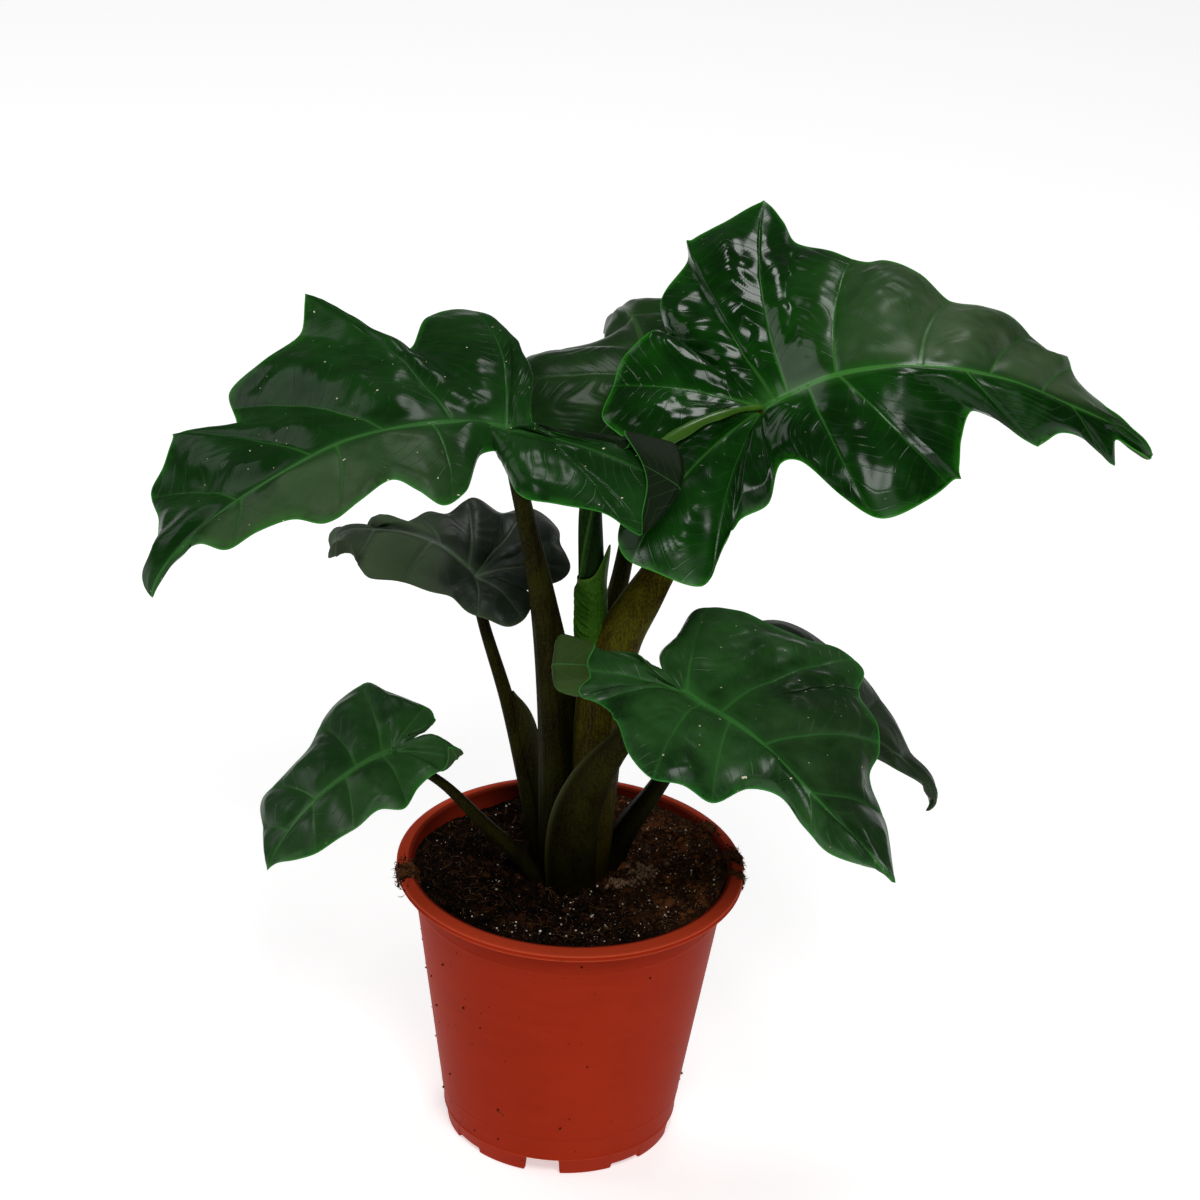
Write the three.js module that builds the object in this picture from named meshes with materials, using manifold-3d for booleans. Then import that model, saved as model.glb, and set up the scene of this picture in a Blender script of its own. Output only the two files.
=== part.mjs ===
import * as THREE from 'three';
import { mergeVertices } from 'three/addons/utils/BufferGeometryUtils.js';
import Module from 'manifold-3d';

// An alocasia in a nursery pot. Millimetres, +Z up, the pot stands on z = 0 and
// its axis is the Z axis. The big leaf on the left points to -X, the front is -Y.

// Pot
const RIM_RADIUS = 120;
const RIM_TOP = 206.5;
const RIM_BAND = 7;
const BODY_TOP_RADIUS = 110;
const BASE_RADIUS = 79;
const WALL = 2;
const FLOOR_TOP = 8.5;
const FLOOR_UNDERSIDE = 6;
const SKIRT_TOP = 13;
const PAD_RADIUS = 25;
const NOTCH_COUNT = 8;
const NOTCH_WIDTH = 24;
const NOTCH_HEIGHT = 5;
const FIRST_NOTCH_DEGREES = -97;
const DRAIN_RADIUS = 5;
const DRAIN_CIRCLE = 56;
const POT_SIDES = 56;

// Soil
const SOIL_LEVEL = 193;
const SOIL_TILT = [0.045, -0.05];
const SOIL_RINGS = [18, 34, 50, 64, 78, 92, 101];
const SOIL_SIDES = 44;

// Gap that keeps neighbouring pieces apart
const GAP = 0.3;

// Blades
const BLADE_THICKNESS = 1;
const MIDRIB_RIDGE = [4, 0.7];
const RIB_RIDGE = 1.1;
const FLAP_SHARE = 0.42;
const FULL_CURL = 2.6;
const FOLD_SHARE = 0.45;
const ROWS = [0, 0.05, 0.3, 0.58, 0.68, 0.78, 1];
const LONG_GAP = 34;

// Petioles
const PETIOLE_SIDES = 14;
const STEPS_PER_KNOT = 3;

const COLOURS = {
  pot: 0x8f3f2e,
  soil: 0x2a1b14,
  rhizome: 0x6b5137,
  petiole: 0x2c3417,
  young: 0x2f6b25,
  blade: 0x1f4f22,
};

// Each leaf hangs from its hub, where the petiole meets the blade. `turn` is the
// heading, droop and roll of the blade in degrees. Rows of the midrib are
// [along, across, lift]. Rows of a side run around the margin from the notch
// behind the hub to the tip: [along, across, lift, root, arch, curl], where root
// is the share of the midrib at which the row starts, arch is the bulge of the
// row between midrib and margin, and curl is the angle in radians by which the
// margin is rolled up and over.
const LEAVES = [
  {
    name: 'left', hub: [-55, -26, 553], turn: [201, 8, -6], bow: 0.14,
    midrib: [
      [0, 0, 0], [22, 0, 11], [43, 0, 18], [78, 0, 23], [112, 0, 23], [146, 0, 14], [202, 0, -10],
      [242, 0, -41], [251, 0, -61],
    ],
    left: [
      [-16, 5, 0, 0, 2], [-24, 22, 3, 0, 4], [-56, 50, 2, 0, 5, 0.1], [-92, 74, -6, 0, 5, 0.7],
      [-120, 94, -20, 0, 6, 2.6], [-126, 120, -32, 0, 6, 3], [-98, 143, -38, 0, 7, 2.8],
      [-60, 140, -28, 0, 8, 1], [-24, 111, -6, 0, 8], [-5, 87, -6, 0, 7], [14, 76, -3, 0.02, 6],
      [15, 46, -2, 0.05, 4], [13, 22, -1, 0.08, 2], [28, 25, 3, 0.12, 2], [50, 58, 1, 0.17, 4],
      [67, 65, 1, 0.21, 5], [80, 54, 9, 0.26, 4], [93, 44, 15, 0.32, 4], [119, 52, 11, 0.38, 4],
      [143, 52, 1, 0.46, 4], [160, 39, 0, 0.55, 3], [182, 28, -10, 0.62, 3],
      [203, 21, -23, 0.69, 3], [216, 3, -26, 0.8, 2], [233, -7, -38, 0.9, 1],
      [246, -5, -52, 0.97, 0], [251, 0, -61, 1, 0],
    ],
    right: [
      [-16, 5, 0, 0, 2], [-22, -15, 4, 0, 3], [-32, -46, 6, 0, 5], [-34, -84, 6, 0, 7],
      [-33, -125, 2, 0, 8], [-17, -144, 0, 0.01, 9], [7, -140, 2, 0.03, 8], [35, -104, 7, 0.06, 2],
      [62, -119, 27, 0.1, 0], [86, -150, 37, 0.14, -2], [97, -137, 17, 0.18, 4],
      [130, -123, 12, 0.23, 6], [155, -119, -2, 0.28, 6], [162, -84, -7, 0.35, 5],
      [188, -88, -2, 0.42, 2], [201, -90, -4, 0.5, 1], [214, -84, -23, 0.58, 4],
      [225, -82, -38, 0.66, 4], [230, -43, -36, 0.78, 3], [241, -18, -42, 0.9, 1],
      [248, -18, -54, 0.97, 0], [251, 0, -61, 1, 0],
    ],
  },
  {
    name: 'right', hub: [115, 8, 560], turn: [4, 6, 20], bow: 0.12,
    midrib: [
      [0, 0, 0], [16, 0, 18], [36, 0, 36], [66, 0, 50], [108, 0, 58], [153, 0, 53], [191, 0, 39],
      [228, 0, 23], [264, 0, -3],
    ],
    left: [
      [-18, -4, -2, 0, 2], [-45, -24, 2, 0, 3], [-75, -52, 6, 0, 5], [-98, -32, -6, 0, 7],
      [-107, -16, -10, 0, 8], [-101, 11, -6, 0, 8], [-95, 33, -2, 0, 7], [-77, 52, 6, 0, 5],
      [-64, 65, -8, 0.01, 2], [-68, 93, -4, 0.02, 5], [-51, 130, 0, 0.03, 8],
      [-51, 139, 6, 0.04, 8], [-25, 164, 6, 0.05, 9], [-1, 177, 16, 0.07, 5], [11, 164, 14, 0.1, 3],
      [20, 153, 6, 0.13, 4], [46, 127, 25, 0.17, 5], [66, 116, 30, 0.22, 5], [78, 113, 36, 0.27, 5],
      [100, 100, 40, 0.32, 5], [121, 85, 35, 0.38, 5], [143, 78, 38, 0.44, 5],
      [163, 76, 34, 0.5, 4], [190, 61, 21, 0.58, 4], [202, 56, 22, 0.64, 3], [210, 41, 17, 0.7, 3],
      [231, 22, 13, 0.8, 2, 0.3], [246, 7, 14, 0.9, 1, 1.5], [259, 6, 4, 0.96, 0, 1.8],
      [264, 0, -3, 1, 0],
    ],
    right: [
      [-18, -4, -2, 0, 2], [-35, -29, -6, 0, 3], [-62, -52, -8, 0, 5], [-86, -78, -14, 0, 8],
      [-94, -104, -28, 0, 10, 0.3], [-86, -121, -38, 0, 10, 0.6], [-68, -126, -46, 0, 10, 0.2],
      [-35, -124, -44, 0, 10], [-23, -106, -36, 0, 9], [-14, -80, -26, 0.01, 6],
      [5, -69, -18, 0.02, 5], [11, -50, 2, 0.04, 3], [20, -53, 10, 0.06, 3], [50, -78, 7, 0.09, 6],
      [75, -93, 6, 0.13, 8], [102, -80, 11, 0.17, 8], [124, -56, 16, 0.21, 8],
      [126, -32, 24, 0.26, 7], [133, -12, 33, 0.33, 5], [150, -16, 33, 0.42, 4],
      [178, -26, 22, 0.5, 4], [194, -15, 24, 0.6, 3], [214, -12, 17, 0.7, 3],
      [233, -20, 7, 0.78, 2], [235, -7, 14, 0.84, 1, 0.4], [249, -8, 4, 0.91, 0, 1.5],
      [259, -9, -2, 0.96, 0, 1.8], [264, 0, -3, 1, 0],
    ],
  },
  {
    name: 'low_left', hub: [-126, -5, 290], turn: [222, 24, -4], bow: 0.1,
    midrib: [
      [0, 0, 0], [25, 0, 10], [64, 0, 14], [91, 0, 8], [112, 0, -3], [119, 0, -9],
    ],
    left: [
      [-9, 5, 0, 0, 1], [-26, 21, 2, 0, 2], [-29, 49, 2, 0, 3, 0.6], [-26, 57, -2, 0, 3, 1.6],
      [-15, 46, -4, 0, 3, 0.6], [-7, 38, -4, 0, 3], [9, 37, -4, 0.02, 4], [28, 44, -2, 0.08, 4],
      [41, 34, 2, 0.18, 3], [59, 32, 1, 0.3, 3], [73, 28, 0, 0.42, 3], [91, 21, -4, 0.56, 3],
      [102, 12, -6, 0.7, 2], [112, 2, -7, 0.88, 1], [119, 0, -9, 1, 0],
    ],
    right: [
      [-9, 5, 0, 0, 1], [-26, 0, -2, 0, 2], [-37, 2, -3, 0, 2], [-44, -9, -4, 0, 3],
      [-39, -26, -2, 0, 4], [-35, -46, -3, 0, 4], [-34, -66, -5, 0.04, 5], [-15, -69, -6, 0.12, 5],
      [8, -65, -5, 0.22, 4], [35, -45, 5, 0.32, 3], [58, -42, 5, 0.44, 3], [81, -45, -2, 0.6, 3],
      [98, -27, -4, 0.76, 2], [111, -10, -5, 0.9, 1], [119, 0, -9, 1, 0],
    ],
  },
  {
    name: 'mid_left', hub: [-75, 48, 401], turn: [160, 0, -2], bow: 0.1,
    midrib: [
      [0, 0, 0], [6, 0, 6], [26, 0, 18], [49, 0, 22], [74, 0, 19], [96, 0, 12], [106, 0, -7],
    ],
    left: [
      [-8, -5, -2, 0, 1], [-23, -2, -2, 0, 2], [-42, 4, -5, 0, 4], [-48, 28, -8, 0, 5],
      [-41, 38, -10, 0, 5], [-24, 37, -8, 0, 5], [-10, 34, -8, 0.03, 5], [5, 28, -3, 0.09, 4],
      [18, 38, 4, 0.18, 4], [35, 46, 12, 0.3, 4], [57, 47, 9, 0.44, 4], [70, 38, 11, 0.58, 3, 0.2],
      [79, 38, 12, 0.74, 2, 1.6], [86, 41, 12, 0.88, 1, 1.6], [106, 0, -7, 1, 0],
    ],
    right: [
      [-8, -5, -2, 0, 1], [-30, -10, 0, 0, 2], [-54, -23, -4, 0, 3], [-55, -40, -2, 0, 5],
      [-30, -78, 2, 0, 7], [-4, -93, 6, 0, 7], [9, -69, 10, 0, 5], [25, -55, 27, 0.04, 5],
      [36, -38, 20, 0.12, 4], [48, -32, 22, 0.2, 4], [65, -24, 12, 0.3, 3], [84, -19, 12, 0.44, 3],
      [110, -42, -13, 0.62, 2], [115, -29, -8, 0.82, 1], [106, 0, -7, 1, 0],
    ],
  },
  {
    name: 'back', hub: [39, 85, 536], turn: [98, 4, 0], bow: 0.1,
    midrib: [
      [0, 0, 0], [30, 0, 8], [75, 0, 10], [118, 2, 6], [152, 4, -8], [178, 8, -34],
    ],
    left: [
      [-12, 0, -1, 0, 1], [-30, 12, -4, 0, 2, 0.8], [-58, 30, -20, 0, 4, 2],
      [-66, 56, -32, 0, 5, 2.4], [-50, 82, -22, 0, 6, 1.6], [-14, 92, -4, 0.02, 6, 0.2],
      [12, 90, 3, 0.06, 5], [36, 80, 4, 0.14, 4], [54, 66, 0, 0.24, 3], [68, 48, -10, 0.36, 3],
      [80, 30, -20, 0.46, 3], [92, 22, -20, 0.54, 3], [106, 18, -12, 0.64, 2],
      [128, 14, -15, 0.78, 1], [152, 8, -28, 0.92, 0], [178, 8, -34, 1, 0],
    ],
    right: [
      [-12, 0, -1, 0, 1], [-28, -12, -2, 0, 2], [-50, -32, -8, 0, 4], [-52, -56, -16, 0, 6],
      [-30, -78, -16, 0, 7], [-4, -88, -6, 0.02, 6], [18, -80, 2, 0.06, 5], [36, -84, -8, 0.14, 5],
      [58, -80, 6, 0.24, 4], [78, -66, -4, 0.38, 4], [98, -60, 8, 0.5, 3], [116, -40, 6, 0.64, 3],
      [140, -20, 0, 0.78, 2], [162, -6, -16, 0.92, 0], [178, 8, -34, 1, 0],
    ],
  },
  {
    name: 'front', hub: [72, -70, 384], turn: [-38, 20, 2], bow: 0.12,
    midrib: [
      [0, 0, 0], [13, 0, 2], [49, 0, 10], [89, 0, 9], [143, 0, 2], [177, 0, -2], [194, 0, -6],
    ],
    left: [
      [-12, 0, -1, 0, 1], [-23, 3, -1, 0, 2], [-36, 16, -3, 0, 3], [-38, 35, 2, 0, 4],
      [-44, 58, 10, 0, 4], [-29, 88, 6, 0.02, 5], [-11, 100, 2, 0.06, 5], [12, 107, 4, 0.09, 4],
      [37, 119, 9, 0.13, 4], [58, 120, 7, 0.17, 4], [68, 104, 2, 0.22, 4], [98, 90, 5, 0.3, 4],
      [110, 82, -4, 0.38, 4], [118, 63, -9, 0.48, 3], [151, 41, -9, 0.6, 3], [177, 16, -7, 0.8, 2],
      [189, 5, -7, 0.94, 0], [194, 0, -6, 1, 0],
    ],
    right: [
      [-12, 0, -1, 0, 1], [-26, -9, 2, 0, 2], [-52, -24, 2, 0, 3, 0.4], [-86, -38, -6, 0, 4, 1.8],
      [-106, -60, -17, 0, 5, 2.9], [-96, -82, -21, 0, 5, 2.8], [-58, -82, -14, 0, 5, 1.2],
      [-21, -66, 0, 0, 5], [-10, -62, 0, 0.01, 5], [15, -74, -4, 0.03, 6], [41, -80, 0, 0.07, 6],
      [56, -68, 0, 0.12, 6], [76, -56, -5, 0.2, 5], [82, -27, -3, 0.3, 4], [99, -9, -6, 0.4, 4],
      [125, -12, -10, 0.52, 4], [149, -14, -11, 0.66, 3], [170, -4, -9, 0.82, 2],
      [183, 3, -7, 0.94, 0], [194, 0, -6, 1, 0],
    ],
  },
  {
    name: 'low_right', hub: [117, 40, 327], turn: [-2, 26, 4], bow: 0.1,
    midrib: [
      [0, 0, 0], [15, 0, 11], [40, 0, 15], [74, 0, 12], [106, 0, 8], [137, 0, -1], [155, 0, -12],
      [154, 0, -23],
    ],
    left: [
      [-7, -2, -1, 0, 1], [-21, 1, 0, 0, 2], [-35, 16, 0, 0, 3], [-23, 48, 2, 0, 4],
      [-2, 78, 6, 0.03, 4], [15, 74, 17, 0.1, 4], [53, 76, 14, 0.22, 3], [84, 65, 9, 0.38, 2],
      [105, 47, 6, 0.54, 1], [126, 21, 1, 0.7, 1], [146, 9, -6, 0.86, 0], [154, 0, -23, 1, 0],
    ],
    right: [
      [-7, -2, -1, 0, 1], [-17, -24, -2, 0, 2], [-21, -51, -5, 0, 3], [0, -59, -10, 0, 4],
      [22, -55, -4, 0.05, 4], [45, -28, -3, 0.15, 4], [72, -16, -2, 0.3, 3], [98, -8, 1, 0.48, 2],
      [117, -7, 0, 0.64, 1], [137, -3, -4, 0.8, 0], [161, 18, -25, 0.92, 0], [154, 0, -23, 1, 0],
    ],
  },
];

// Rows of a petiole are [x, y, z, radius, sheath]: sheath is the height of the
// thin wing that the leaf base carries on one side. Inner ones come first, and
// every later one is hollowed where it wraps them.
const PETIOLES = [
  {
    name: 'young_leaf', wing: 60, colour: 'young',
    path: [
      [12, 2, 300, 6, 0], [10, 5, 340, 9, 0], [8, 4, 380, 9.2, 1.5], [6, 4, 426, 8.6, 1],
      [3, 6, 479, 7.6, 1], [3, 8, 510, 5, 0], [3, 8, 522, 1.5, 0],
    ],
  },
  {
    name: 'petiole_right', wing: 170, leaf: 'right',
    path: [
      [11, -2, 168, 15, 0], [15, -2, 274, 15, 2], [19, -2, 337, 15, 5], [28, -4, 386, 13.5, 4],
      [41, -5, 418, 12.5, 2], [52, -3, 442, 11, 0], [84, 2, 507, 7.5, 0], [115, 8, 558, 5.5, 0],
    ],
  },
  {
    name: 'petiole_left', wing: 10, leaf: 'left',
    path: [
      [-8, 4, 168, 15, 0], [-12, 5, 268, 12.5, 5], [-19, 5, 339, 9.5, 8], [-28, -3, 413, 7.6, 3],
      [-40, -14, 480, 6.3, 0], [-49, -21, 522, 5.4, 0], [-55, -26, 551, 4.2, 0],
    ],
  },
  {
    name: 'petiole_back', wing: 200, leaf: 'back',
    path: [
      [11, 20, 168, 11, 0], [13, 30, 271, 9.5, 2], [17, 42, 360, 7.5, 0], [26, 55, 408, 6.2, 0],
      [35, 72, 476, 5, 0], [39, 85, 534, 4, 0],
    ],
  },
  {
    name: 'petiole_front', wing: 200, leaf: 'front',
    path: [
      [6, -15, 168, 15, 2], [4, -24, 247, 14, 8], [14, -36, 294, 12, 7], [31, -48, 332, 8.5, 3],
      [56, -62, 366, 5, 0], [71, -69, 380, 4, 0],
    ],
  },
  {
    name: 'petiole_mid_left', wing: 0, leaf: 'mid_left',
    path: [
      [-12, 14, 168, 7.5, 2], [-24, 18, 215, 6.5, 5], [-35, 24, 264, 6, 3], [-49, 33, 315, 5, 0],
      [-67, 43, 368, 4, 0], [-75, 48, 399, 3.5, 0],
    ],
  },
  {
    name: 'petiole_low_right', wing: 130, leaf: 'low_right',
    path: [
      [22, 9, 168, 9, 0], [35, 16, 218, 8, 3], [54, 24, 249, 6.5, 1.5], [82, 33, 293, 5, 0],
      [117, 40, 325, 4, 0],
    ],
  },
  {
    name: 'petiole_low_left', wing: 60, leaf: 'low_left',
    path: [
      [-6, -12, 168, 7.5, 0], [-32, -15, 213, 5.5, 2], [-63, -11, 243, 4.6, 1],
      [-92, -7, 270, 3.4, 0], [-125, -5, 286, 3, 0],
    ],
  },
];

const wasm = await Module();
wasm.setup();

const add = (a, b) => a.map((value, k) => value + b[k]);
const subtract = (a, b) => a.map((value, k) => value - b[k]);
const scale = (a, s) => a.map((value) => value * s);
const mix = (a, b, t) => a.map((value, k) => value * (1 - t) + b[k] * t);
const dot = (a, b) => a[0] * b[0] + a[1] * b[1] + a[2] * b[2];
const size = (a) => Math.hypot(a[0], a[1], a[2]);
const unit = (a) => scale(a, 1 / Math.max(size(a), 1e-9));
const cross = (a, b) => [
  a[1] * b[2] - a[2] * b[1],
  a[2] * b[0] - a[0] * b[2],
  a[0] * b[1] - a[1] * b[0],
];
const radians = (degrees) => (degrees * Math.PI) / 180;

// A smooth curve through the rows: a Hermite curve whose knots are spaced by the
// square root of the distance. `steps(gap)` gives the pieces of one gap.
function through(rows, steps) {
  const last = rows.length - 1;
  const span = [];
  const slope = [];
  for (let i = 0; i < last; i += 1) {
    const gap = subtract(rows[i + 1].slice(0, 3), rows[i].slice(0, 3));
    span.push(Math.sqrt(Math.max(size(gap), 1e-6)));
    slope.push(scale(subtract(rows[i + 1], rows[i]), 1 / span[i]));
  }
  const tangent = rows.map((row, i) => {
    if (i === 0 || i === last) {
      return null;
    }
    const before = scale(slope[i], span[i - 1]);
    const after = scale(slope[i - 1], span[i]);
    return scale(add(before, after), 1 / (span[i - 1] + span[i]));
  });
  tangent[0] = subtract(scale(slope[0], 2), tangent[1]);
  tangent[last] = subtract(scale(slope[last - 1], 2), tangent[last - 1]);
  const points = [];
  for (let i = 0; i < last; i += 1) {
    const count = steps(span[i] ** 2);
    for (let k = 0; k < count; k += 1) {
      const u = k / count;
      const start = scale(rows[i], 2 * u ** 3 - 3 * u ** 2 + 1);
      const leave = scale(tangent[i], span[i] * (u ** 3 - 2 * u ** 2 + u));
      const end = scale(rows[i + 1], 3 * u ** 2 - 2 * u ** 3);
      const arrive = scale(tangent[i + 1], span[i] * (u ** 3 - u ** 2));
      points.push(add(add(start, leave), add(end, arrive)));
    }
  }
  points.push(rows[last]);
  return points;
}

// The point at a share of the length of a curve.
function along(curve, share) {
  const lengths = [0];
  for (let i = 1; i < curve.length; i += 1) {
    lengths.push(lengths[i - 1] + size(subtract(curve[i], curve[i - 1])));
  }
  const wanted = share * lengths[lengths.length - 1];
  let i = 1;
  while (i < curve.length - 1 && lengths[i] < wanted) {
    i += 1;
  }
  const t = (wanted - lengths[i - 1]) / (lengths[i] - lengths[i - 1]);
  return mix(curve[i - 1], curve[i], Math.min(Math.max(t, 0), 1));
}

// The three directions of a blade: along, across (to its left) and lift.
function directions([heading, droop, roll]) {
  const [h, d, r] = [heading, droop, roll].map(radians);
  const forward = [Math.cos(h) * Math.cos(d), Math.sin(h) * Math.cos(d), -Math.sin(d)];
  const level = [-Math.sin(h), Math.cos(h), 0];
  const left = add(scale(level, Math.cos(r)), scale(cross(forward, level), Math.sin(r)));
  return [forward, left, cross(forward, left)];
}

// One row of the blade, from the midrib point to the margin: a quadratic curve
// whose margin part is folded up and over by the row's curl.
function bladeRow(start, station, bow, shares) {
  const margin = station.slice(0, 3);
  const [root, arch, curl] = station.slice(3);
  const reach = size(subtract(margin, start));
  const middle = add(mix(start, margin, 0.5), [-bow * reach * (1 - root ** 4), 0, 2 * arch]);
  const flap = FLAP_SHARE * Math.min(Math.max(Math.abs(curl) / FULL_CURL, 0.02), 1);
  const foldAt = 1 - flap;
  const heading = unit(add(
    scale(subtract(margin, middle), foldAt),
    scale(subtract(middle, start), 1 - foldAt),
  ));
  const up = unit(subtract([0, 0, 1], scale(heading, heading[2])));
  const angle = Math.abs(curl) < 1e-3 ? 1e-3 : curl;
  return shares.map((v) => {
    const flat = add(
      add(scale(start, (1 - v) ** 2), scale(middle, 2 * v * (1 - v))),
      scale(margin, v ** 2),
    );
    const t = Math.min(Math.max((v - foldAt) / flap, 0), 1);
    const folded = Math.min(t, FOLD_SHARE);
    const turn = (angle * folded) / FOLD_SHARE;
    const out = (FOLD_SHARE * Math.sin(turn)) / angle + (t - folded) * Math.cos(angle) - t;
    const rise = (FOLD_SHARE * (1 - Math.cos(turn))) / angle + (t - folded) * Math.sin(angle);
    return add(flat, add(scale(heading, out * reach * flap), scale(up, rise * reach * flap)));
  });
}

// The middle surface of a blade as points and triangles that face up. Both
// sides share the midrib and the row that runs back to the notch.
function bladeSurface(leaf) {
  const points = [];
  const ridge = [];
  const triangles = [];
  const found = new Map();
  const midrib = through(leaf.midrib, () => 12);
  const sides = ['left', 'right'].map((side) => {
    const padded = leaf[side].map((row) => [...row, 0, 0].slice(0, 6));
    const stations = through(padded, (gap) => (gap > LONG_GAP ? 2 : 1));
    let reached = 0;
    return stations.map((station) => {
      reached = Math.min(Math.max(reached, station[3]), 1);
      station[3] = Math.round(reached * 1000) / 1000;
      return station;
    });
  });
  const put = (key, point, height) => {
    if (!found.has(key)) {
      found.set(key, points.length);
      points.push(point);
      ridge.push(height);
    }
    return found.get(key);
  };
  const roots = [...new Set(sides.flat().map((station) => station[3]))].sort((a, b) => a - b);
  const midribIndex = roots.map((root) => {
    const height = MIDRIB_RIDGE[0] * (1 - root) + MIDRIB_RIDGE[1] * root;
    return put(`midrib ${root}`, along(midrib, root), height);
  });
  const face = (a, b, c, flipped) => {
    if (a !== b && b !== c && a !== c) {
      triangles.push(flipped ? [a, c, b] : [a, b, c]);
    }
  };
  const margins = [];
  sides.forEach((stations, side) => {
    const tip = stations.length - 1;
    const columns = stations.map((station, i) => {
      if (i === tip) {
        return ROWS.slice(1).map(() => midribIndex[midribIndex.length - 1]);
      }
      const row = bladeRow(along(midrib, station[3]), station, leaf.bow, ROWS);
      const name = i === 0 ? 'notch' : `${side} ${i}`;
      const rib = i % 2 === 1 ? RIB_RIDGE : 0;
      return row.slice(1).map((point, j) => put(
        `${name} ${j}`, point, j < ROWS.length - 2 ? rib * (1 - ROWS[j + 1]) : 0,
      ));
    });
    const flipped = side === 0;
    for (let i = 0; i < tip; i += 1) {
      const first = roots.indexOf(stations[i][3]);
      const end = roots.indexOf(stations[i + 1][3]);
      for (let k = first; k < end; k += 1) {
        face(columns[i][0], midribIndex[k], midribIndex[k + 1], flipped);
      }
      face(columns[i][0], midribIndex[end], columns[i + 1][0], flipped);
      for (let j = 0; j < ROWS.length - 2; j += 1) {
        const [a, b] = [columns[i][j], columns[i][j + 1]];
        const [c, d] = [columns[i + 1][j], columns[i + 1][j + 1]];
        face(a, c, d, flipped);
        face(a, d, b, flipped);
      }
    }
    margins.push(columns.map((column) => column[column.length - 1]));
  });
  return { points, ridge, triangles, margins };
}

// A blade as a closed solid: the middle surface offset to both sides along its
// normals, thicker below by the ridge of the midrib and of the ribs.
function bladeSolid(leaf, extra) {
  const { points, ridge, triangles, margins } = bladeSurface(leaf);
  const normals = points.map(() => [0, 0, 0]);
  triangles.forEach(([a, b, c]) => {
    const normal = cross(subtract(points[b], points[a]), subtract(points[c], points[a]));
    [a, b, c].forEach((k) => {
      normals[k] = add(normals[k], normal);
    });
  });
  const half = BLADE_THICKNESS / 2 + extra;
  const above = points.map((point, k) => add(point, scale(unit(normals[k]), half)));
  const below = points.map((point, k) => {
    return subtract(point, scale(unit(normals[k]), half + ridge[k]));
  });
  const count = points.length;
  const faces = [];
  triangles.forEach(([a, b, c]) => {
    faces.push([a, b, c], [a + count, c + count, b + count]);
  });
  margins.forEach((margin, side) => {
    for (let i = 0; i + 1 < margin.length; i += 1) {
      const [a, b] = side === 1 ? [margin[i], margin[i + 1]] : [margin[i + 1], margin[i]];
      faces.push([a, b, b + count], [a, b + count, a + count]);
    }
  });
  const axes = directions(leaf.turn);
  const placed = [...above, ...below].map(([x, y, z]) => add(
    leaf.hub,
    add(add(scale(axes[0], x), scale(axes[1], y)), scale(axes[2], z)),
  ));
  return solid(placed, faces);
}

// A manifold from points and triangles, turned inside out if it has to be.
function solid(points, faces) {
  const make = (list) => new wasm.Manifold(new wasm.Mesh({
    numProp: 3,
    vertProperties: new Float32Array(points.flat()),
    triVerts: new Uint32Array(list.flat()),
  }));
  const body = make(faces);
  return body.volume() > 0 ? body : make(faces.map(([a, b, c]) => [a, c, b]));
}

// A manifold from a three.js geometry.
function fromGeometry(geometry) {
  const plain = geometry.clone();
  plain.deleteAttribute('normal');
  plain.deleteAttribute('uv');
  const merged = mergeVertices(plain, 1e-3);
  const position = merged.getAttribute('position');
  const points = [];
  for (let i = 0; i < position.count; i += 1) {
    points.push([position.getX(i), position.getY(i), position.getZ(i)]);
  }
  const faces = [];
  for (let i = 0; i < merged.index.count; i += 3) {
    const [a, b, c] = [0, 1, 2].map((k) => merged.index.getX(i + k));
    if (a !== b && b !== c && a !== c) {
      faces.push([a, b, c]);
    }
  }
  return solid(points, faces);
}

// The biggest of the pieces that a cut leaves.
function largest(body) {
  const pieces = body.decompose();
  return pieces.reduce((best, piece) => (piece.volume() > best.volume() ? piece : best));
}

// A stem along a path, round with a thin wing on one side.
function stem({ path, wing }, extra, stretch = 0) {
  const points = through(path, () => STEPS_PER_KNOT);
  const last = points.length - 1;
  const rings = points.map((point, i) => {
    const before = points[Math.max(i - 1, 0)].slice(0, 3);
    const after = points[Math.min(i + 1, last)].slice(0, 3);
    const tangent = unit(subtract(after, before));
    const side = unit(cross([0, 1, 0], tangent));
    const front = cross(tangent, side);
    const [radius, sheath] = point.slice(3);
    const end = i === last ? stretch : 0;
    const centre = add(point.slice(0, 3), scale(tangent, end));
    const ring = [];
    for (let k = 0; k < PETIOLE_SIDES; k += 1) {
      const angle = (k * 2 * Math.PI) / PETIOLE_SIDES;
      const away = Math.cos(angle - radians(wing));
      const fin = away > 0 ? Math.max(sheath, 0) * away ** 6 : 0;
      const reach = Math.max(radius, 1) + extra + fin;
      ring.push(add(centre, add(
        scale(side, reach * Math.cos(angle)),
        scale(front, reach * Math.sin(angle)),
      )));
    }
    return ring;
  });
  return loft(rings);
}

// A closed solid through rings of equal length, with a flat fan at each end.
function loft(rings) {
  const sides = rings[0].length;
  const points = rings.flat();
  const faces = [];
  for (let i = 0; i + 1 < rings.length; i += 1) {
    for (let k = 0; k < sides; k += 1) {
      const [a, b] = [i * sides + k, i * sides + ((k + 1) % sides)];
      faces.push([a, b, b + sides], [a, b + sides, a + sides]);
    }
  }
  [rings[0], rings[rings.length - 1]].forEach((ring, end) => {
    const centre = points.length;
    points.push(scale(ring.reduce((sum, point) => add(sum, point)), 1 / sides));
    const first = end === 0 ? 0 : (rings.length - 1) * sides;
    for (let k = 0; k < sides; k += 1) {
      const [a, b] = [first + k, first + ((k + 1) % sides)];
      faces.push(end === 0 ? [centre, b, a] : [centre, a, b]);
    }
  });
  return solid(points, faces);
}

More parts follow.
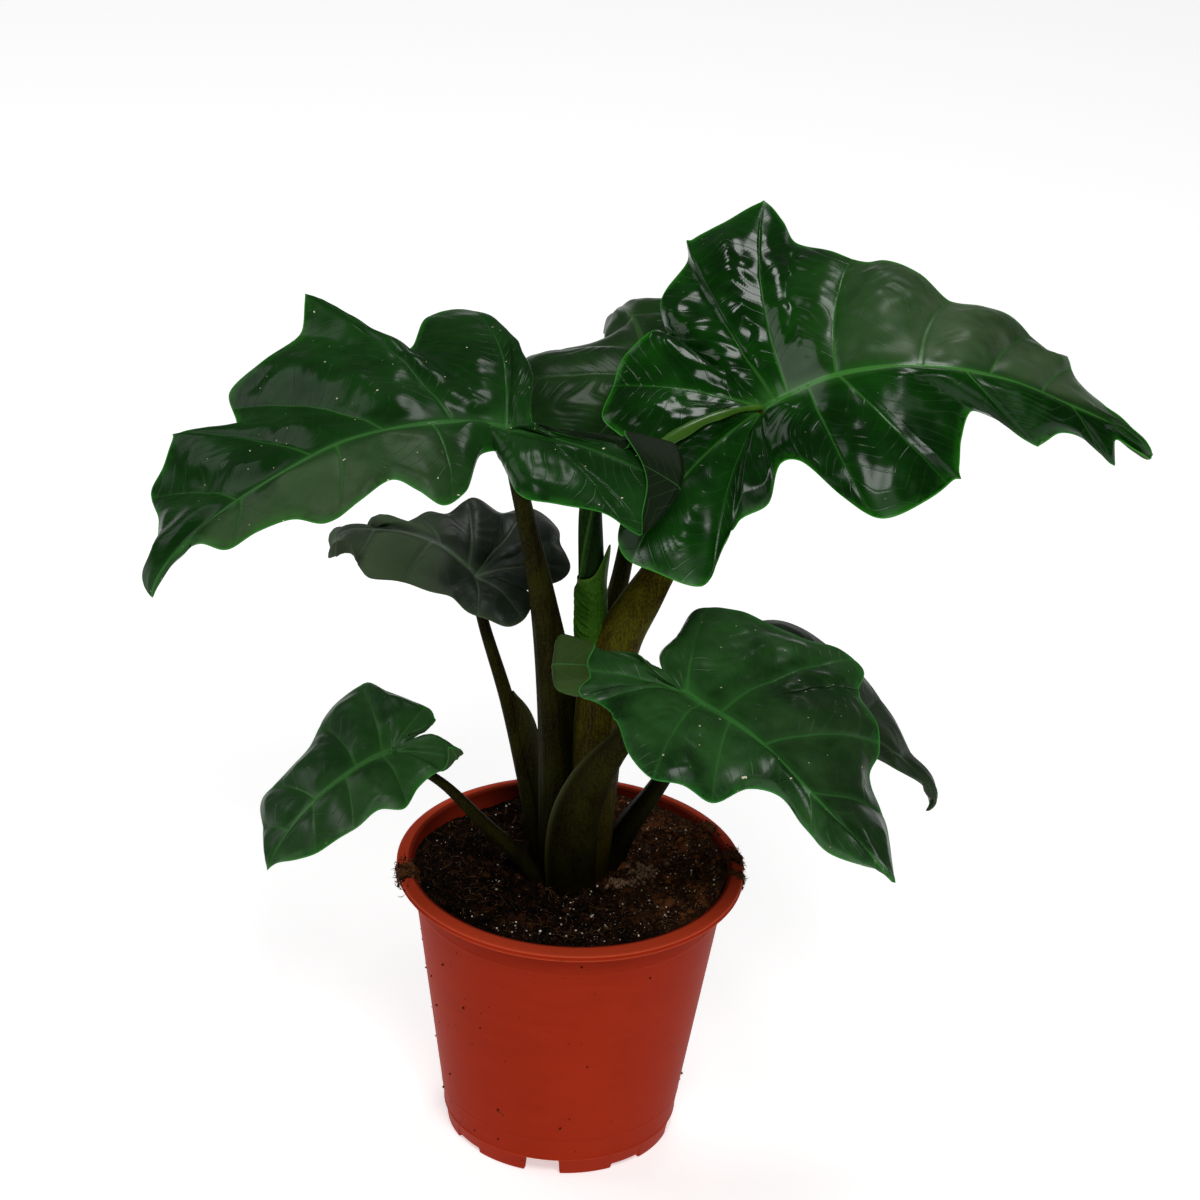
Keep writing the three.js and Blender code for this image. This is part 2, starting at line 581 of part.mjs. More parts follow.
// A turned solid about the Z axis from a profile of [radius, height].
function turned(profile, sides) {
  const shape = [...profile, profile[0]].map(([r, z]) => new THREE.Vector2(r, z));
  const geometry = new THREE.LatheGeometry(shape, sides);
  geometry.rotateX(Math.PI / 2);
  return fromGeometry(geometry);
}

// The pot: a thin tapered wall with a rolled rim, a faint ring below the rim and
// above the base, a notched skirt, a raised floor and a flat centre pad.
function potSolid() {
  const wallAt = (z) => BASE_RADIUS + ((BODY_TOP_RADIUS - BASE_RADIUS) * z) / RIM_TOP;
  const bandFoot = RIM_TOP - RIM_BAND;
  const profile = [
    [0, 0], [PAD_RADIUS, 0], [PAD_RADIUS, FLOOR_UNDERSIDE],
    [wallAt(0) - 4, FLOOR_UNDERSIDE], [wallAt(0) - 4, 0], [wallAt(0), 0],
    [wallAt(SKIRT_TOP), SKIRT_TOP - 1], [wallAt(SKIRT_TOP) + 1.2, SKIRT_TOP],
    [wallAt(30) + 1.2, 30], [wallAt(31), 31],
    [wallAt(180), 180], [wallAt(181) + 0.8, 181.5], [wallAt(184), 184],
    [wallAt(bandFoot), bandFoot - 1], [RIM_RADIUS - 1, bandFoot],
    [RIM_RADIUS, bandFoot + 1], [RIM_RADIUS, RIM_TOP - 1.2], [RIM_RADIUS - 1.2, RIM_TOP],
    [BODY_TOP_RADIUS, RIM_TOP], [BODY_TOP_RADIUS - 1.5, RIM_TOP - 1.5],
    [wallAt(184) - WALL, 184], [wallAt(FLOOR_TOP) - WALL, FLOOR_TOP], [0, FLOOR_TOP],
  ];
  let body = turned(profile, POT_SIDES);
  for (let k = 0; k < NOTCH_COUNT; k += 1) {
    const angle = FIRST_NOTCH_DEGREES + (k * 360) / NOTCH_COUNT;
    const box = new THREE.BoxGeometry(16, NOTCH_WIDTH, 2 * NOTCH_HEIGHT);
    box.translate(BASE_RADIUS - 2, 0, 0);
    box.rotateZ(radians(angle));
    const drain = new THREE.CylinderGeometry(DRAIN_RADIUS, DRAIN_RADIUS, 2 * FLOOR_TOP, 12);
    drain.rotateX(Math.PI / 2);
    drain.translate(DRAIN_CIRCLE, 0, FLOOR_TOP);
    drain.rotateZ(radians(angle + 180 / NOTCH_COUNT));
    body = body.subtract(fromGeometry(box)).subtract(fromGeometry(drain));
  }
  return body;
}

// Height of the soil: low hummocks on a gentle slope down to the back left.
function soilHeight(x, y) {
  const slope = SOIL_TILT[0] * x + SOIL_TILT[1] * y;
  const hummocks = Math.sin(x * 0.09 + 1) * Math.cos(y * 0.11) + 0.6 * Math.sin(x * 0.21 - y * 0.17);
  return SOIL_LEVEL + slope + 1.6 * hummocks;
}

// The soil fills the pot from the floor up, clear of the wall by the gap.
function soilSolid() {
  const slope = (BODY_TOP_RADIUS - BASE_RADIUS) / RIM_TOP;
  const wallAt = (z) => BASE_RADIUS + slope * z - WALL - 2 * GAP;
  const ring = (radius, height) => {
    const points = [];
    for (let k = 0; k < SOIL_SIDES; k += 1) {
      const angle = (k * 2 * Math.PI) / SOIL_SIDES;
      const [x, y] = [radius * Math.cos(angle), radius * Math.sin(angle)];
      points.push([x, y, height ?? soilHeight(x, y)]);
    }
    return points;
  };
  const foot = FLOOR_TOP + GAP;
  const top = SOIL_RINGS.slice().reverse().map((radius) => ring(radius));
  return loft([ring(wallAt(foot), foot), ring(wallAt(176), 176), ...top]);
}

// The corm from which all petioles rise, buried in the soil.
function rhizomeSolid(extra) {
  const profile = [
    [0, 128], [10, 130], [18, 138], [24, 150], [26, 162], [22, 171], [12, 176], [0, 177],
  ];
  const grown = profile.map(([r, z], k) => {
    const away = k === 0 ? -extra : extra;
    const rise = z > 150 ? extra : away < 0 ? away : -extra;
    return [r === 0 ? 0 : r + extra, z + rise];
  });
  return turned(grown, 24).translate([6, 2, 0]);
}

function mesh(name, body, colour) {
  const data = body.getMesh();
  const geometry = new THREE.BufferGeometry();
  const positions = [];
  for (let i = 0; i < data.vertProperties.length; i += data.numProp) {
    positions.push(...data.vertProperties.slice(i, i + 3));
  }
  geometry.setAttribute('position', new THREE.Float32BufferAttribute(positions, 3));
  geometry.setIndex([...data.triVerts]);
  geometry.computeVertexNormals();
  const finish = name === 'pot' || name.startsWith('blade') ? 0.4 : 0.8;
  const material = new THREE.MeshStandardMaterial({ color: colour, roughness: finish });
  material.name = name;
  const part = new THREE.Mesh(geometry, material);
  part.name = name;
  return part;
}

const plant = new THREE.Group();
plant.name = 'potted_alocasia';
plant.add(mesh('pot', potSolid(), COLOURS.pot));
plant.add(mesh('rhizome', rhizomeSolid(0), COLOURS.rhizome));

const blades = new Map();
LEAVES.forEach((leaf) => {
  const body = bladeSolid(leaf, 0);
  blades.set(leaf.name, bladeSolid(leaf, 3 * GAP));
  plant.add(mesh(`blade_${leaf.name}`, body, COLOURS.blade));
});

let soil = soilSolid().subtract(rhizomeSolid(GAP));
const inner = [];
PETIOLES.forEach((petiole) => {
  let body = stem(petiole, 0);
  inner.forEach((grown) => {
    body = body.subtract(grown);
  });
  body = body.subtract(rhizomeSolid(GAP));
  if (petiole.leaf) {
    body = body.subtract(blades.get(petiole.leaf));
  }
  body = largest(body);
  const grown = stem(petiole, GAP);
  inner.push(grown);
  soil = soil.subtract(grown);
  plant.add(mesh(petiole.name, body, COLOURS[petiole.colour ?? 'petiole']));
});
plant.add(mesh('soil', largest(soil), COLOURS.soil));

export default plant;
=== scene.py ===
import math

import bpy
import mathutils
import numpy as np
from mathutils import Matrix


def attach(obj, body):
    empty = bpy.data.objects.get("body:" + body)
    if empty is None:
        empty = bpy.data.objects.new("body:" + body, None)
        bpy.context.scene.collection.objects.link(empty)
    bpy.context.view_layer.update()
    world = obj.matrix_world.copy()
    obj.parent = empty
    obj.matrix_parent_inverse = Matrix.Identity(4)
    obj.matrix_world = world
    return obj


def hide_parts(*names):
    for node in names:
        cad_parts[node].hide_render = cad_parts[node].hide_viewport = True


# A potted alocasia. Sizes in the tables are millimetres in the frame of the CAD:
# +Z up, the pot stands on z = 0, the front is -Y.
MM = 0.001
BODY = "root"

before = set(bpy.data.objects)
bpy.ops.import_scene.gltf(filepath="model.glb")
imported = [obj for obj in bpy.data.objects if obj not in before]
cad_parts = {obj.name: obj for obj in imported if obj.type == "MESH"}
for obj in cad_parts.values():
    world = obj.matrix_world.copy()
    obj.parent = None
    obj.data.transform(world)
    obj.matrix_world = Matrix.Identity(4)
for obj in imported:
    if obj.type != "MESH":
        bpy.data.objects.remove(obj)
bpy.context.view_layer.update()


# ---------------------------------------------------------------- shader maths
class Value:
    """A number on a socket. Arithmetic on it adds Math nodes to its material."""

    def __init__(self, finish, socket):
        self.finish = finish
        self.socket = socket

    def maths(self, operation, *others, first=None):
        order = [self, *others] if first is None else [first, self, *others]
        sockets = dict(enumerate(order))
        return self.finish.node("ShaderNodeMath", {"operation": operation}, sockets)

    def __add__(self, other):
        return self.maths("ADD", other)

    __radd__ = __add__

    def __mul__(self, other):
        return self.maths("MULTIPLY", other)

    __rmul__ = __mul__

    def __sub__(self, other):
        return self.maths("SUBTRACT", other)

    def __rsub__(self, other):
        return self.maths("SUBTRACT", first=other)

    def clamped(self):
        return self.maths("MINIMUM", 1.0).maths("MAXIMUM", 0.0)

    def sine(self):
        return self.maths("SINE")


class Finish:
    """A material with one Principled shader, filled in by its maker."""

    def __init__(self, name, **constants):
        self.material = bpy.data.materials.new(name)
        self.material.use_nodes = True
        self.tree = self.material.node_tree
        self.tree.nodes.clear()
        self.shader = self.tree.nodes.new("ShaderNodeBsdfPrincipled")
        output = self.tree.nodes.new("ShaderNodeOutputMaterial")
        self.tree.links.new(self.shader.outputs[0], output.inputs["Surface"])
        for name_, value in constants.items():
            self.shader.inputs[name_.replace("_", " ")].default_value = value

    def node(self, kind, settings=None, sockets=None, out=0):
        """A node of that kind: its settings first, then its sockets' values or links."""
        made = self.tree.nodes.new(kind)
        for key, value in (settings or {}).items():
            if key == "stops":
                ramp = made.color_ramp
                while len(ramp.elements) < len(value):
                    ramp.elements.new(0.5)
                for element, (place, colour) in zip(ramp.elements, value):
                    element.position = place
                    element.color = (*colour, 1.0)
            else:
                setattr(made, key, value)
        for key, value in (sockets or {}).items():
            if isinstance(value, Value):
                self.tree.links.new(value.socket, made.inputs[key])
            else:
                made.inputs[key].default_value = value
        return Value(self, made.outputs[out])

    def feed(self, **links):
        """Links the values to the shader's sockets of those names."""
        for key, value in links.items():
            self.tree.links.new(value.socket, self.shader.inputs[key.replace("_", " ")])

    def attribute(self, name):
        """The piece's own number of that name."""
        return self.node("ShaderNodeAttribute", {"attribute_name": name}, out="Fac")

    def place(self, scale=(1.0, 1.0, 1.0)):
        """Object coordinates in metres, stretched."""
        spot = self.node("ShaderNodeTexCoord", out="Object")
        return self.node("ShaderNodeMapping", sockets={"Vector": spot, "Scale": scale})

    def noise(self, where, scale, detail=4.0, roughness=0.55, distortion=0.0):
        """Cloudy noise between 0 and 1, with `scale` patches to the metre."""
        return self.node("ShaderNodeTexNoise", sockets={
            "Vector": where, "Scale": scale, "Detail": detail,
            "Roughness": roughness, "Distortion": distortion,
        }, out="Fac")

    def ramp(self, value, low, high):
        """0 below low, 1 above high, smooth between."""
        return self.node("ShaderNodeMapRange", {"interpolation_type": "SMOOTHSTEP"}, {
            "Value": value, "From Min": low, "From Max": high, "To Min": 0.0, "To Max": 1.0,
        })

    def mix(self, share, first, second):
        """A colour between two, by share."""
        sockets = {0: share, 6: first, 7: second}
        sockets = {k: ((*v, 1.0) if isinstance(v, tuple) and len(v) == 3 else v)
                   for k, v in sockets.items()}
        return self.node("ShaderNodeMix", {"data_type": "RGBA"}, sockets, out=2)

    def bump(self, height, depth, strength):
        """A normal from a height in units of depth metres."""
        sockets = {"Height": height, "Distance": depth, "Strength": strength}
        return self.node("ShaderNodeBump", sockets=sockets)


# ---------------------------------------------------------------- mesh building
def new_piece(name, points, faces, finish, smooth=True, attributes=None):
    """A mesh object at the origin from points in metres and faces."""
    mesh = bpy.data.meshes.new(name)
    mesh.from_pydata(np.asarray(points).tolist(), [], faces)
    mesh.update()
    for key, values in (attributes or {}).items():
        layer = mesh.attributes.new(key, "FLOAT", "POINT")
        layer.data.foreach_set("value", np.asarray(values, dtype=np.float32))
    mesh.polygons.foreach_set("use_smooth", [smooth] * len(mesh.polygons))
    mesh.materials.append(finish.material)
    piece = bpy.data.objects.new(name, mesh)
    bpy.context.scene.collection.objects.link(piece)
    return piece


def grid_faces(rows, columns, start=0, wrap=False):
    """Quads of a grid of points in row order; wrap joins the last column to the first."""
    index = start + np.arange(rows * columns).reshape(rows, columns)
    if wrap:
        index = np.concatenate([index, index[:, :1]], axis=1)
    quads = np.stack([index[:-1, :-1], index[:-1, 1:], index[1:, 1:], index[1:, :-1]], axis=-1)
    return quads.reshape(-1, 4).tolist()


def tube_faces(rows, columns, fans=False):
    """Faces of a closed tube of rings. An end is one polygon, or with `fans` triangles
    to a point of its own, and these two points follow the rings."""
    faces = grid_faces(rows, columns, wrap=True)
    first = np.arange(columns)
    last = first + (rows - 1) * columns
    if not fans:
        return faces + [first[::-1].tolist(), last.tolist()]
    low = np.full(columns, rows * columns)
    return (faces + np.stack([np.roll(first, -1), first, low], -1).tolist()
            + np.stack([last, np.roll(last, -1), low + 1], -1).tolist())


def smoothstep(value, low, high):
    """0 below low, 1 above high, and t * t * (3 - 2 t) between, t being the share."""
    t = np.clip((value - low) / (high - low), 0.0, 1.0)
    return t * t * (3 - 2 * t)


def lumps(x, y, size, seed):
    """Smooth value noise between 0 and 1: random heights on a lattice of that size,
    joined by smoothstep weights along both directions."""
    table = np.random.default_rng(seed).random((64, 64))
    u, v = np.asarray(x) / size, np.asarray(y) / size
    iu, iv = np.floor(u).astype(int), np.floor(v).astype(int)
    fu, fv = u - iu, v - iv
    fu, fv = fu * fu * (3 - 2 * fu), fv * fv * (3 - 2 * fv)
    pick = lambda a, b: table[(iu + a) % 64, (iv + b) % 64]
    low = pick(0, 0) * (1 - fu) + pick(1, 0) * fu
    high = pick(0, 1) * (1 - fu) + pick(1, 1) * fu
    return low * (1 - fv) + high * fv


def knot_gaps(rows):
    """Distances from each row's point to the next row's."""
    return np.maximum(np.linalg.norm(np.diff(rows[:, :3], axis=0), axis=1), 1e-6)


def through(rows, where):
    """The smooth curve through the rows at the knot positions `where`, such as 2.5 for
    halfway between rows 2 and 3: cubic Hermite pieces whose knots are spaced by the
    square root of their distance."""
    rows = np.asarray(rows, dtype=float)
    span = np.sqrt(knot_gaps(rows))[:, None]
    slope = np.diff(rows, axis=0) / span
    inner = (slope[1:] * span[:-1] + slope[:-1] * span[1:]) / (span[1:] + span[:-1])
    tangent = np.concatenate([2 * slope[:1] - inner[:1], inner, 2 * slope[-1:] - inner[-1:]])
    gap = np.clip(np.floor(where).astype(int), 0, len(rows) - 2)
    u = (where - gap)[:, None]
    return (rows[gap] * (2 * u**3 - 3 * u**2 + 1)
            + tangent[gap] * span[gap] * (u**3 - 2 * u**2 + u)
            + rows[gap + 1] * (3 * u**2 - 2 * u**3)
            + tangent[gap + 1] * span[gap] * (u**3 - u**2))


def knot_places(rows, spacing, extra=()):
    """Knot positions about `spacing` apart along the curve, with the extra ones."""
    counts = np.maximum(np.ceil(knot_gaps(np.asarray(rows, float)) / spacing), 2).astype(int)
    gap = np.repeat(np.arange(len(counts)), counts)
    step = np.arange(counts.sum()) - np.repeat(np.cumsum(counts) - counts, counts)
    return np.unique(np.concatenate([gap + step / counts[gap], [len(counts)],
                                     np.asarray(extra, float)]))


def run_length(curve):
    """The length along a curve up to each of its points."""
    return np.concatenate([[0.0], np.cumsum(np.linalg.norm(np.diff(curve, axis=0), axis=1))])


def at_share(curve, share):
    """Points at shares of a curve's length."""
    length = run_length(curve)
    return np.stack([np.interp(share, length / length[-1], curve[:, k]) for k in range(3)], -1)


def unit(vectors):
    """The vectors at length 1."""
    return vectors / np.maximum(np.linalg.norm(vectors, axis=-1, keepdims=True), 1e-9)


# ---------------------------------------------------------------- blades
THICKNESS = 0.9
FOLD_SHARE = 0.22
VEIN_GAP = 10.0
MOST_SWELL = 5.0
MARGIN_STEP, MIDRIB_STEP = 2.7, 1.5
SPIKE_STEPS = [-0.12, -0.06, -0.02, 0.0, 0.02, 0.06, 0.12]
SPIKE_REACH = 2.2
FAR_FROM_RIB = 9.0
ROW_SHARES = np.concatenate([
    [0.0, 0.008, 0.018, 0.03, 0.045], np.linspace(0.062, 0.97, 66), [0.985, 0.994, 1.0],
])

# Rows are [along, across, lift] on the midrib and [along, across, lift, root, arch,
# flap] round the margin: `root` is the share of the midrib's length where the row of
# points to the margin starts, `arch` how far its middle is raised and `flap` the share of
# it that turns up, by the angle `roll`. `hub` is where the stalk ends, `turn` the blade's
# heading, droop and roll in degrees, and `bow` how far back the middle of a row lies.
# `ribs` gives the knot positions where a main rib reaches the margin, and `spikes` a
# knot position and a height. `quilt` is the bulge between ribs as a share of their
# distance, `pleat` the depth of the folds between side veins, `pucker` the height of the
# blisters on the left and the right half, and `crinkle` that of the wider unevenness.
# `bloom` is a painted grey-green sheen on each half, a matte cast that stands in for the
# light it catches, and `satin` how much duller the right half is.
LEAVES = {
    "left": dict(
        hub=[-55, -26, 553], turn=[201, 8, -6], bow=0.14, roll=3.1,
        quilt=0.09, pleat=0.3, pucker=(3.0, 3.0), crinkle=3.6, bloom=(0.65, 0.0), satin=0.0,
        ribs=dict(left=[4.5, 7.5, 14.6, 18.6, 21.8], right=[4.6, 9, 12.4, 14.8, 17.2]),
        spikes=dict(left=[], right=[[8, 1.5], [9, 4.0], [15, 4.0]]),
        midrib=[
            [0, 0, 0], [22, 0, 11], [43, 0, 18], [78, 0, 23], [112, 0, 23], [146, 0, 14],
            [202, 0, -10], [242, 0, -41], [251, 0, -61],
        ],
        left=[
            [-16, 5, 0, 0, 2], [-26, 22, 3, 0, 4], [-58, 49, 1, 0, 4, 0],
            [-116, 87, -8, 0, 4, 0.26], [-106, 119, -14, 0, 5, 0.247],
            [-82, 126, -20, 0, 6, 0.165], [-60, 127, -25, 0, 6, 0.096], [-48, 115, -24, 0, 7, 0],
            [-33, 98, -14, 0, 7], [-5, 87, -6, 0, 7], [14, 76, -3, 0.02, 6], [15, 46, -2, 0.05, 4],
            [13, 22, -1, 0.08, 2], [28, 25, 3, 0.12, 2], [50, 58, 1, 0.17, 4],
            [67, 65, 1, 0.21, 5], [80, 54, 9, 0.26, 4], [93, 44, 15, 0.32, 4],
            [119, 52, 11, 0.38, 4], [143, 52, 1, 0.46, 4], [160, 39, 0, 0.55, 3],
            [182, 28, -10, 0.62, 3], [203, 21, -23, 0.69, 3], [216, 3, -26, 0.8, 2],
            [233, -7, -38, 0.9, 1], [246, -5, -52, 0.97, 0], [251, 0, -61, 1, 0],
        ],
        right=[
            [-16, 5, 0, 0, 2], [-22, -15, 4, 0, 3], [-32, -46, 6, 0, 5], [-34, -84, 6, 0, 7],
            [-33, -125, 2, 0, 8], [-17, -144, 0, 0.01, 9], [7, -140, 2, 0.03, 8],
            [35, -104, 7, 0.06, 2], [62, -119, 27, 0.1, 0], [86, -150, 37, 0.14, -2],
            [97, -137, 17, 0.18, 4], [130, -123, 12, 0.23, 6], [155, -119, -2, 0.28, 6],
            [162, -84, -7, 0.35, 5], [188, -88, -2, 0.42, 2], [201, -90, -4, 0.5, 1],
            [214, -84, -23, 0.58, 4], [225, -82, -38, 0.66, 4], [230, -43, -36, 0.78, 3],
            [241, -18, -42, 0.9, 1], [248, -18, -54, 0.97, 0], [251, 0, -61, 1, 0],
        ],
    ),
    "right": dict(
        hub=[115, 8, 560], turn=[4, 6, 20], bow=0.12, roll=2,
        quilt=0.10, pleat=0.5, pucker=(4.2, 2.2), crinkle=3.4, bloom=(0.8, 0.0), satin=0.2,
        ribs=dict(
            left=[5, 10.5, 13, 16.5, 20, 22.5, 24.5],
            right=[5.3, 7.4, 13.8, 15.7, 19.8, 22.6]),
        spikes=dict(
            left=[[11, 4.0], [13, 3.0], [24, 2.0]],
            right=[[16, 4.5], [20, 2.0], [23, 3.0]]),
        midrib=[
            [0, 0, 0], [16, 0, 18], [36, 0, 36], [66, 0, 50], [108, 0, 58], [153, 0, 53],
            [191, 0, 39], [228, 0, 23], [264, 0, -3],
        ],
        left=[
            [-72, -49, 2, 0, 2], [-78, -52, 4, 0, 3], [-86, -49, 3, 0, 4], [-98, -32, -6, 0, 7],
            [-107, -16, -10, 0, 8], [-101, 11, -6, 0, 8], [-95, 33, -2, 0, 7], [-77, 52, 6, 0, 5],
            [-64, 65, -8, 0.01, 2], [-68, 93, -4, 0.02, 5], [-51, 130, 0, 0.03, 8],
            [-51, 139, 6, 0.04, 8], [-25, 164, 6, 0.05, 9], [-1, 177, 16, 0.07, 5],
            [11, 164, 14, 0.1, 3], [20, 153, 6, 0.13, 4], [46, 127, 25, 0.17, 5],
            [66, 116, 30, 0.22, 5], [78, 113, 36, 0.27, 5], [100, 100, 40, 0.32, 5],
            [121, 85, 35, 0.38, 5], [143, 78, 38, 0.44, 5], [163, 76, 34, 0.5, 4],
            [190, 61, 21, 0.58, 4], [202, 56, 22, 0.64, 3], [210, 41, 17, 0.7, 3],
            [231, 22, 13, 0.8, 2, 0.05], [246, 7, 14, 0.9, 1, 0.24], [259, 6, 4, 0.96, 0, 0.29],
            [264, 0, -3, 1, 0],
        ],
        right=[
            [-72, -49, 2, 0, 2], [-74, -56, -4, 0, 4], [-78, -66, -10, 0, 6],
            [-86, -78, -14, 0, 8], [-94, -103, -28, 0, 10], [-88, -113, -36, 0, 10],
            [-70, -118, -41, 0, 10], [-35, -124, -44, 0, 10], [-23, -106, -36, 0, 9, 0.08],
            [-14, -80, -26, 0.01, 6], [5, -69, -18, 0.02, 5], [11, -50, 2, 0.04, 3],
            [20, -53, 10, 0.06, 3], [50, -78, 7, 0.09, 6], [75, -93, 6, 0.13, 8],
            [102, -80, 11, 0.17, 8], [124, -56, 16, 0.21, 8], [126, -32, 24, 0.26, 7],
            [133, -12, 33, 0.33, 5], [150, -16, 33, 0.42, 4], [178, -26, 22, 0.5, 4],
            [194, -15, 24, 0.6, 3], [214, -12, 17, 0.7, 3], [233, -20, 7, 0.78, 2],
            [235, -7, 14, 0.84, 1, 0.06], [249, -8, 4, 0.91, 0, 0.24],
            [259, -9, -2, 0.96, 0, 0.29], [264, 0, -3, 1, 0],
        ],
    ),
    "low_left": dict(
        hub=[-126, -5, 290], turn=[222, 24, -4], bow=0.1, roll=1.8,
        quilt=0.09, pleat=0.25, pucker=(2.8, 2.8), crinkle=2.4, bloom=(0.15, 0.0), satin=0.0,
        ribs=dict(left=[2.8, 6.8, 9.2, 11], right=[3.2, 6.3, 8.2, 10.6, 12]),
        spikes=dict(left=[[2, 1.5]], right=[[2, 2.5]]),
        midrib=[
            [0, 0, 0], [25, 0, 10], [64, 0, 14], [91, 0, 8], [112, 0, -3], [119, 0, -9],
        ],
        left=[
            [-9, 5, 0, 0, 1], [-26, 21, 2, 0, 2], [-29, 49, 2, 0, 3, 0.1],
            [-26, 57, -2, 0, 3, 0.26], [-15, 46, -4, 0, 3, 0.1], [-7, 38, -4, 0, 3],
            [9, 37, -4, 0.02, 4], [28, 44, -2, 0.08, 4], [41, 34, 2, 0.18, 3], [59, 32, 1, 0.3, 3],
            [73, 28, 0, 0.42, 3], [91, 21, -4, 0.56, 3], [102, 12, -6, 0.7, 2],
            [112, 2, -7, 0.88, 1], [119, 0, -9, 1, 0],
        ],
        right=[
            [-9, 5, 0, 0, 1], [-26, 0, -2, 0, 2], [-37, 2, -3, 0, 2], [-44, -9, -4, 0, 3],
            [-39, -26, -2, 0, 4], [-35, -46, -3, 0, 4], [-34, -66, -5, 0.04, 5],
            [-15, -69, -6, 0.12, 5], [8, -65, -5, 0.22, 4], [35, -45, 5, 0.32, 3],
            [58, -42, 5, 0.44, 3], [81, -45, -2, 0.6, 3], [98, -27, -4, 0.76, 2],
            [111, -10, -5, 0.9, 1], [119, 0, -9, 1, 0],
        ],
    ),
    "mid_left": dict(
        hub=[-75, 48, 401], turn=[160, 0, -2], bow=0.1, roll=1.8,
        quilt=0.1, pleat=0.4, pucker=(2.2, 2.2), crinkle=3.4, bloom=(1.0, 1.0), satin=0.0,
        ribs=dict(left=[3, 5.4, 9, 11.4, 13], right=[3, 6, 8.2, 10.4, 13]),
        spikes=dict(left=[[14, 2.5]], right=[]),
        midrib=[
            [0, 0, 0], [6, 0, 6], [26, 0, 18], [49, 0, 22], [74, 0, 19], [96, 0, 12], [106, 0, -7],
        ],
        left=[
            [-38, -2, -3, 0, 1], [-43, 2, -4, 0, 2], [-47, 10, -5, 0, 3], [-48, 28, -8, 0, 5],
            [-41, 38, -10, 0, 5], [-24, 37, -8, 0, 5], [-10, 34, -8, 0.03, 5],
            [5, 28, -3, 0.09, 4], [18, 38, 4, 0.18, 4], [35, 46, 12, 0.3, 4], [57, 47, 9, 0.44, 4],
            [70, 38, 11, 0.58, 3, 0.03], [79, 38, 12, 0.74, 2, 0.26], [86, 41, 12, 0.88, 1, 0.26],
            [106, 0, -7, 1, 0],
        ],
        right=[
            [-38, -2, -3, 0, 1], [-44, -8, -3, 0, 2], [-54, -23, -4, 0, 3], [-55, -40, -2, 0, 5],
            [-37, -65, 0, 0, 4], [-30, -78, 2, 0, 7], [-4, -93, 6, 0, 7], [9, -69, 10, 0, 5],
            [25, -55, 27, 0.04, 5], [36, -38, 20, 0.12, 4], [48, -32, 22, 0.2, 4],
            [65, -24, 12, 0.3, 3], [84, -19, 12, 0.44, 3], [110, -42, -13, 0.62, 2],
            [115, -29, -8, 0.82, 1], [106, 0, -7, 1, 0],
        ],
    ),
    "back": dict(
        hub=[39, 85, 536], turn=[98, 4, 0], bow=0.1, roll=2.3,
        quilt=0.07, pleat=0.35, pucker=(1.2, 1.2), crinkle=2.4, bloom=(0.1, 0.0), satin=0.0,
        ribs=dict(left=[3, 5.6, 8, 10.5, 13], right=[3.2, 5.6, 8.2, 10.2, 12.3]),
        spikes=dict(left=[], right=[]),
        midrib=[
            [0, 0, 0], [30, 0, 8], [75, 0, 10], [118, 2, 6], [152, 4, -8], [178, 8, -34],
        ],
        left=[
            [-12, 0, -1, 0, 1], [-30, 12, -4, 0, 2], [-56, 30, -18, 0, 4],
            [-62, 56, -28, 0, 5], [-48, 80, -20, 0, 6], [-14, 92, -4, 0.02, 6],
            [12, 90, 3, 0.06, 5], [36, 80, 4, 0.14, 4], [54, 66, 0, 0.24, 3],
            [68, 48, -10, 0.36, 3], [80, 30, -20, 0.46, 3], [92, 22, -20, 0.54, 3],
            [106, 18, -12, 0.64, 2], [128, 14, -15, 0.78, 1], [152, 8, -28, 0.92, 0],
            [178, 8, -34, 1, 0],
        ],
        right=[
            [-12, 0, -1, 0, 1], [-28, -12, -2, 0, 2], [-50, -32, -8, 0, 4], [-52, -56, -16, 0, 6],
            [-30, -78, -16, 0, 7], [-4, -88, -6, 0.02, 6], [18, -80, 2, 0.06, 5],
            [36, -84, -8, 0.14, 5], [58, -80, 6, 0.24, 4], [78, -66, -4, 0.38, 4],
            [98, -60, 8, 0.5, 3], [116, -40, 6, 0.64, 3], [140, -20, 0, 0.78, 2],
            [162, -6, -16, 0.92, 0], [178, 8, -34, 1, 0],
        ],
    ),
    "front": dict(
        hub=[72, -70, 384], turn=[-38, 20, 2], bow=0.12, roll=3.1,
        quilt=0.09, pleat=0.35, pucker=(4.0, 3.4), crinkle=4.2, bloom=(0.2, 0.0), satin=0.0,
        ribs=dict(left=[4.3, 8.5, 11.6, 13.9], right=[4.2, 6.6, 10, 12, 15.4]),
        spikes=dict(left=[[10, 2.0]], right=[[8, 1.5]]),
        midrib=[
            [0, 0, 0], [13, 0, 2], [49, 0, 10], [89, 0, 9], [143, 0, 2], [177, 0, -2],
            [194, 0, -6],
        ],
        left=[
            [-12, 0, -1, 0, 1], [-23, 3, -1, 0, 2], [-36, 16, -3, 0, 3], [-38, 35, 2, 0, 4],
            [-44, 58, 10, 0, 4], [-29, 88, 6, 0.02, 5], [-11, 100, 2, 0.06, 5],
            [12, 107, 4, 0.09, 4], [37, 119, 9, 0.13, 4], [58, 120, 7, 0.17, 4],
            [68, 104, 2, 0.22, 4], [98, 90, 5, 0.3, 4], [110, 82, -4, 0.38, 4],
            [118, 63, -9, 0.48, 3], [151, 41, -9, 0.6, 3], [177, 16, -7, 0.8, 2],
            [189, 5, -7, 0.94, 0], [194, 0, -6, 1, 0],
        ],
        right=[
            [-12, 0, -1, 0, 1], [-26, -9, 2, 0, 2], [-56, -26, 2, 0, 3, 0],
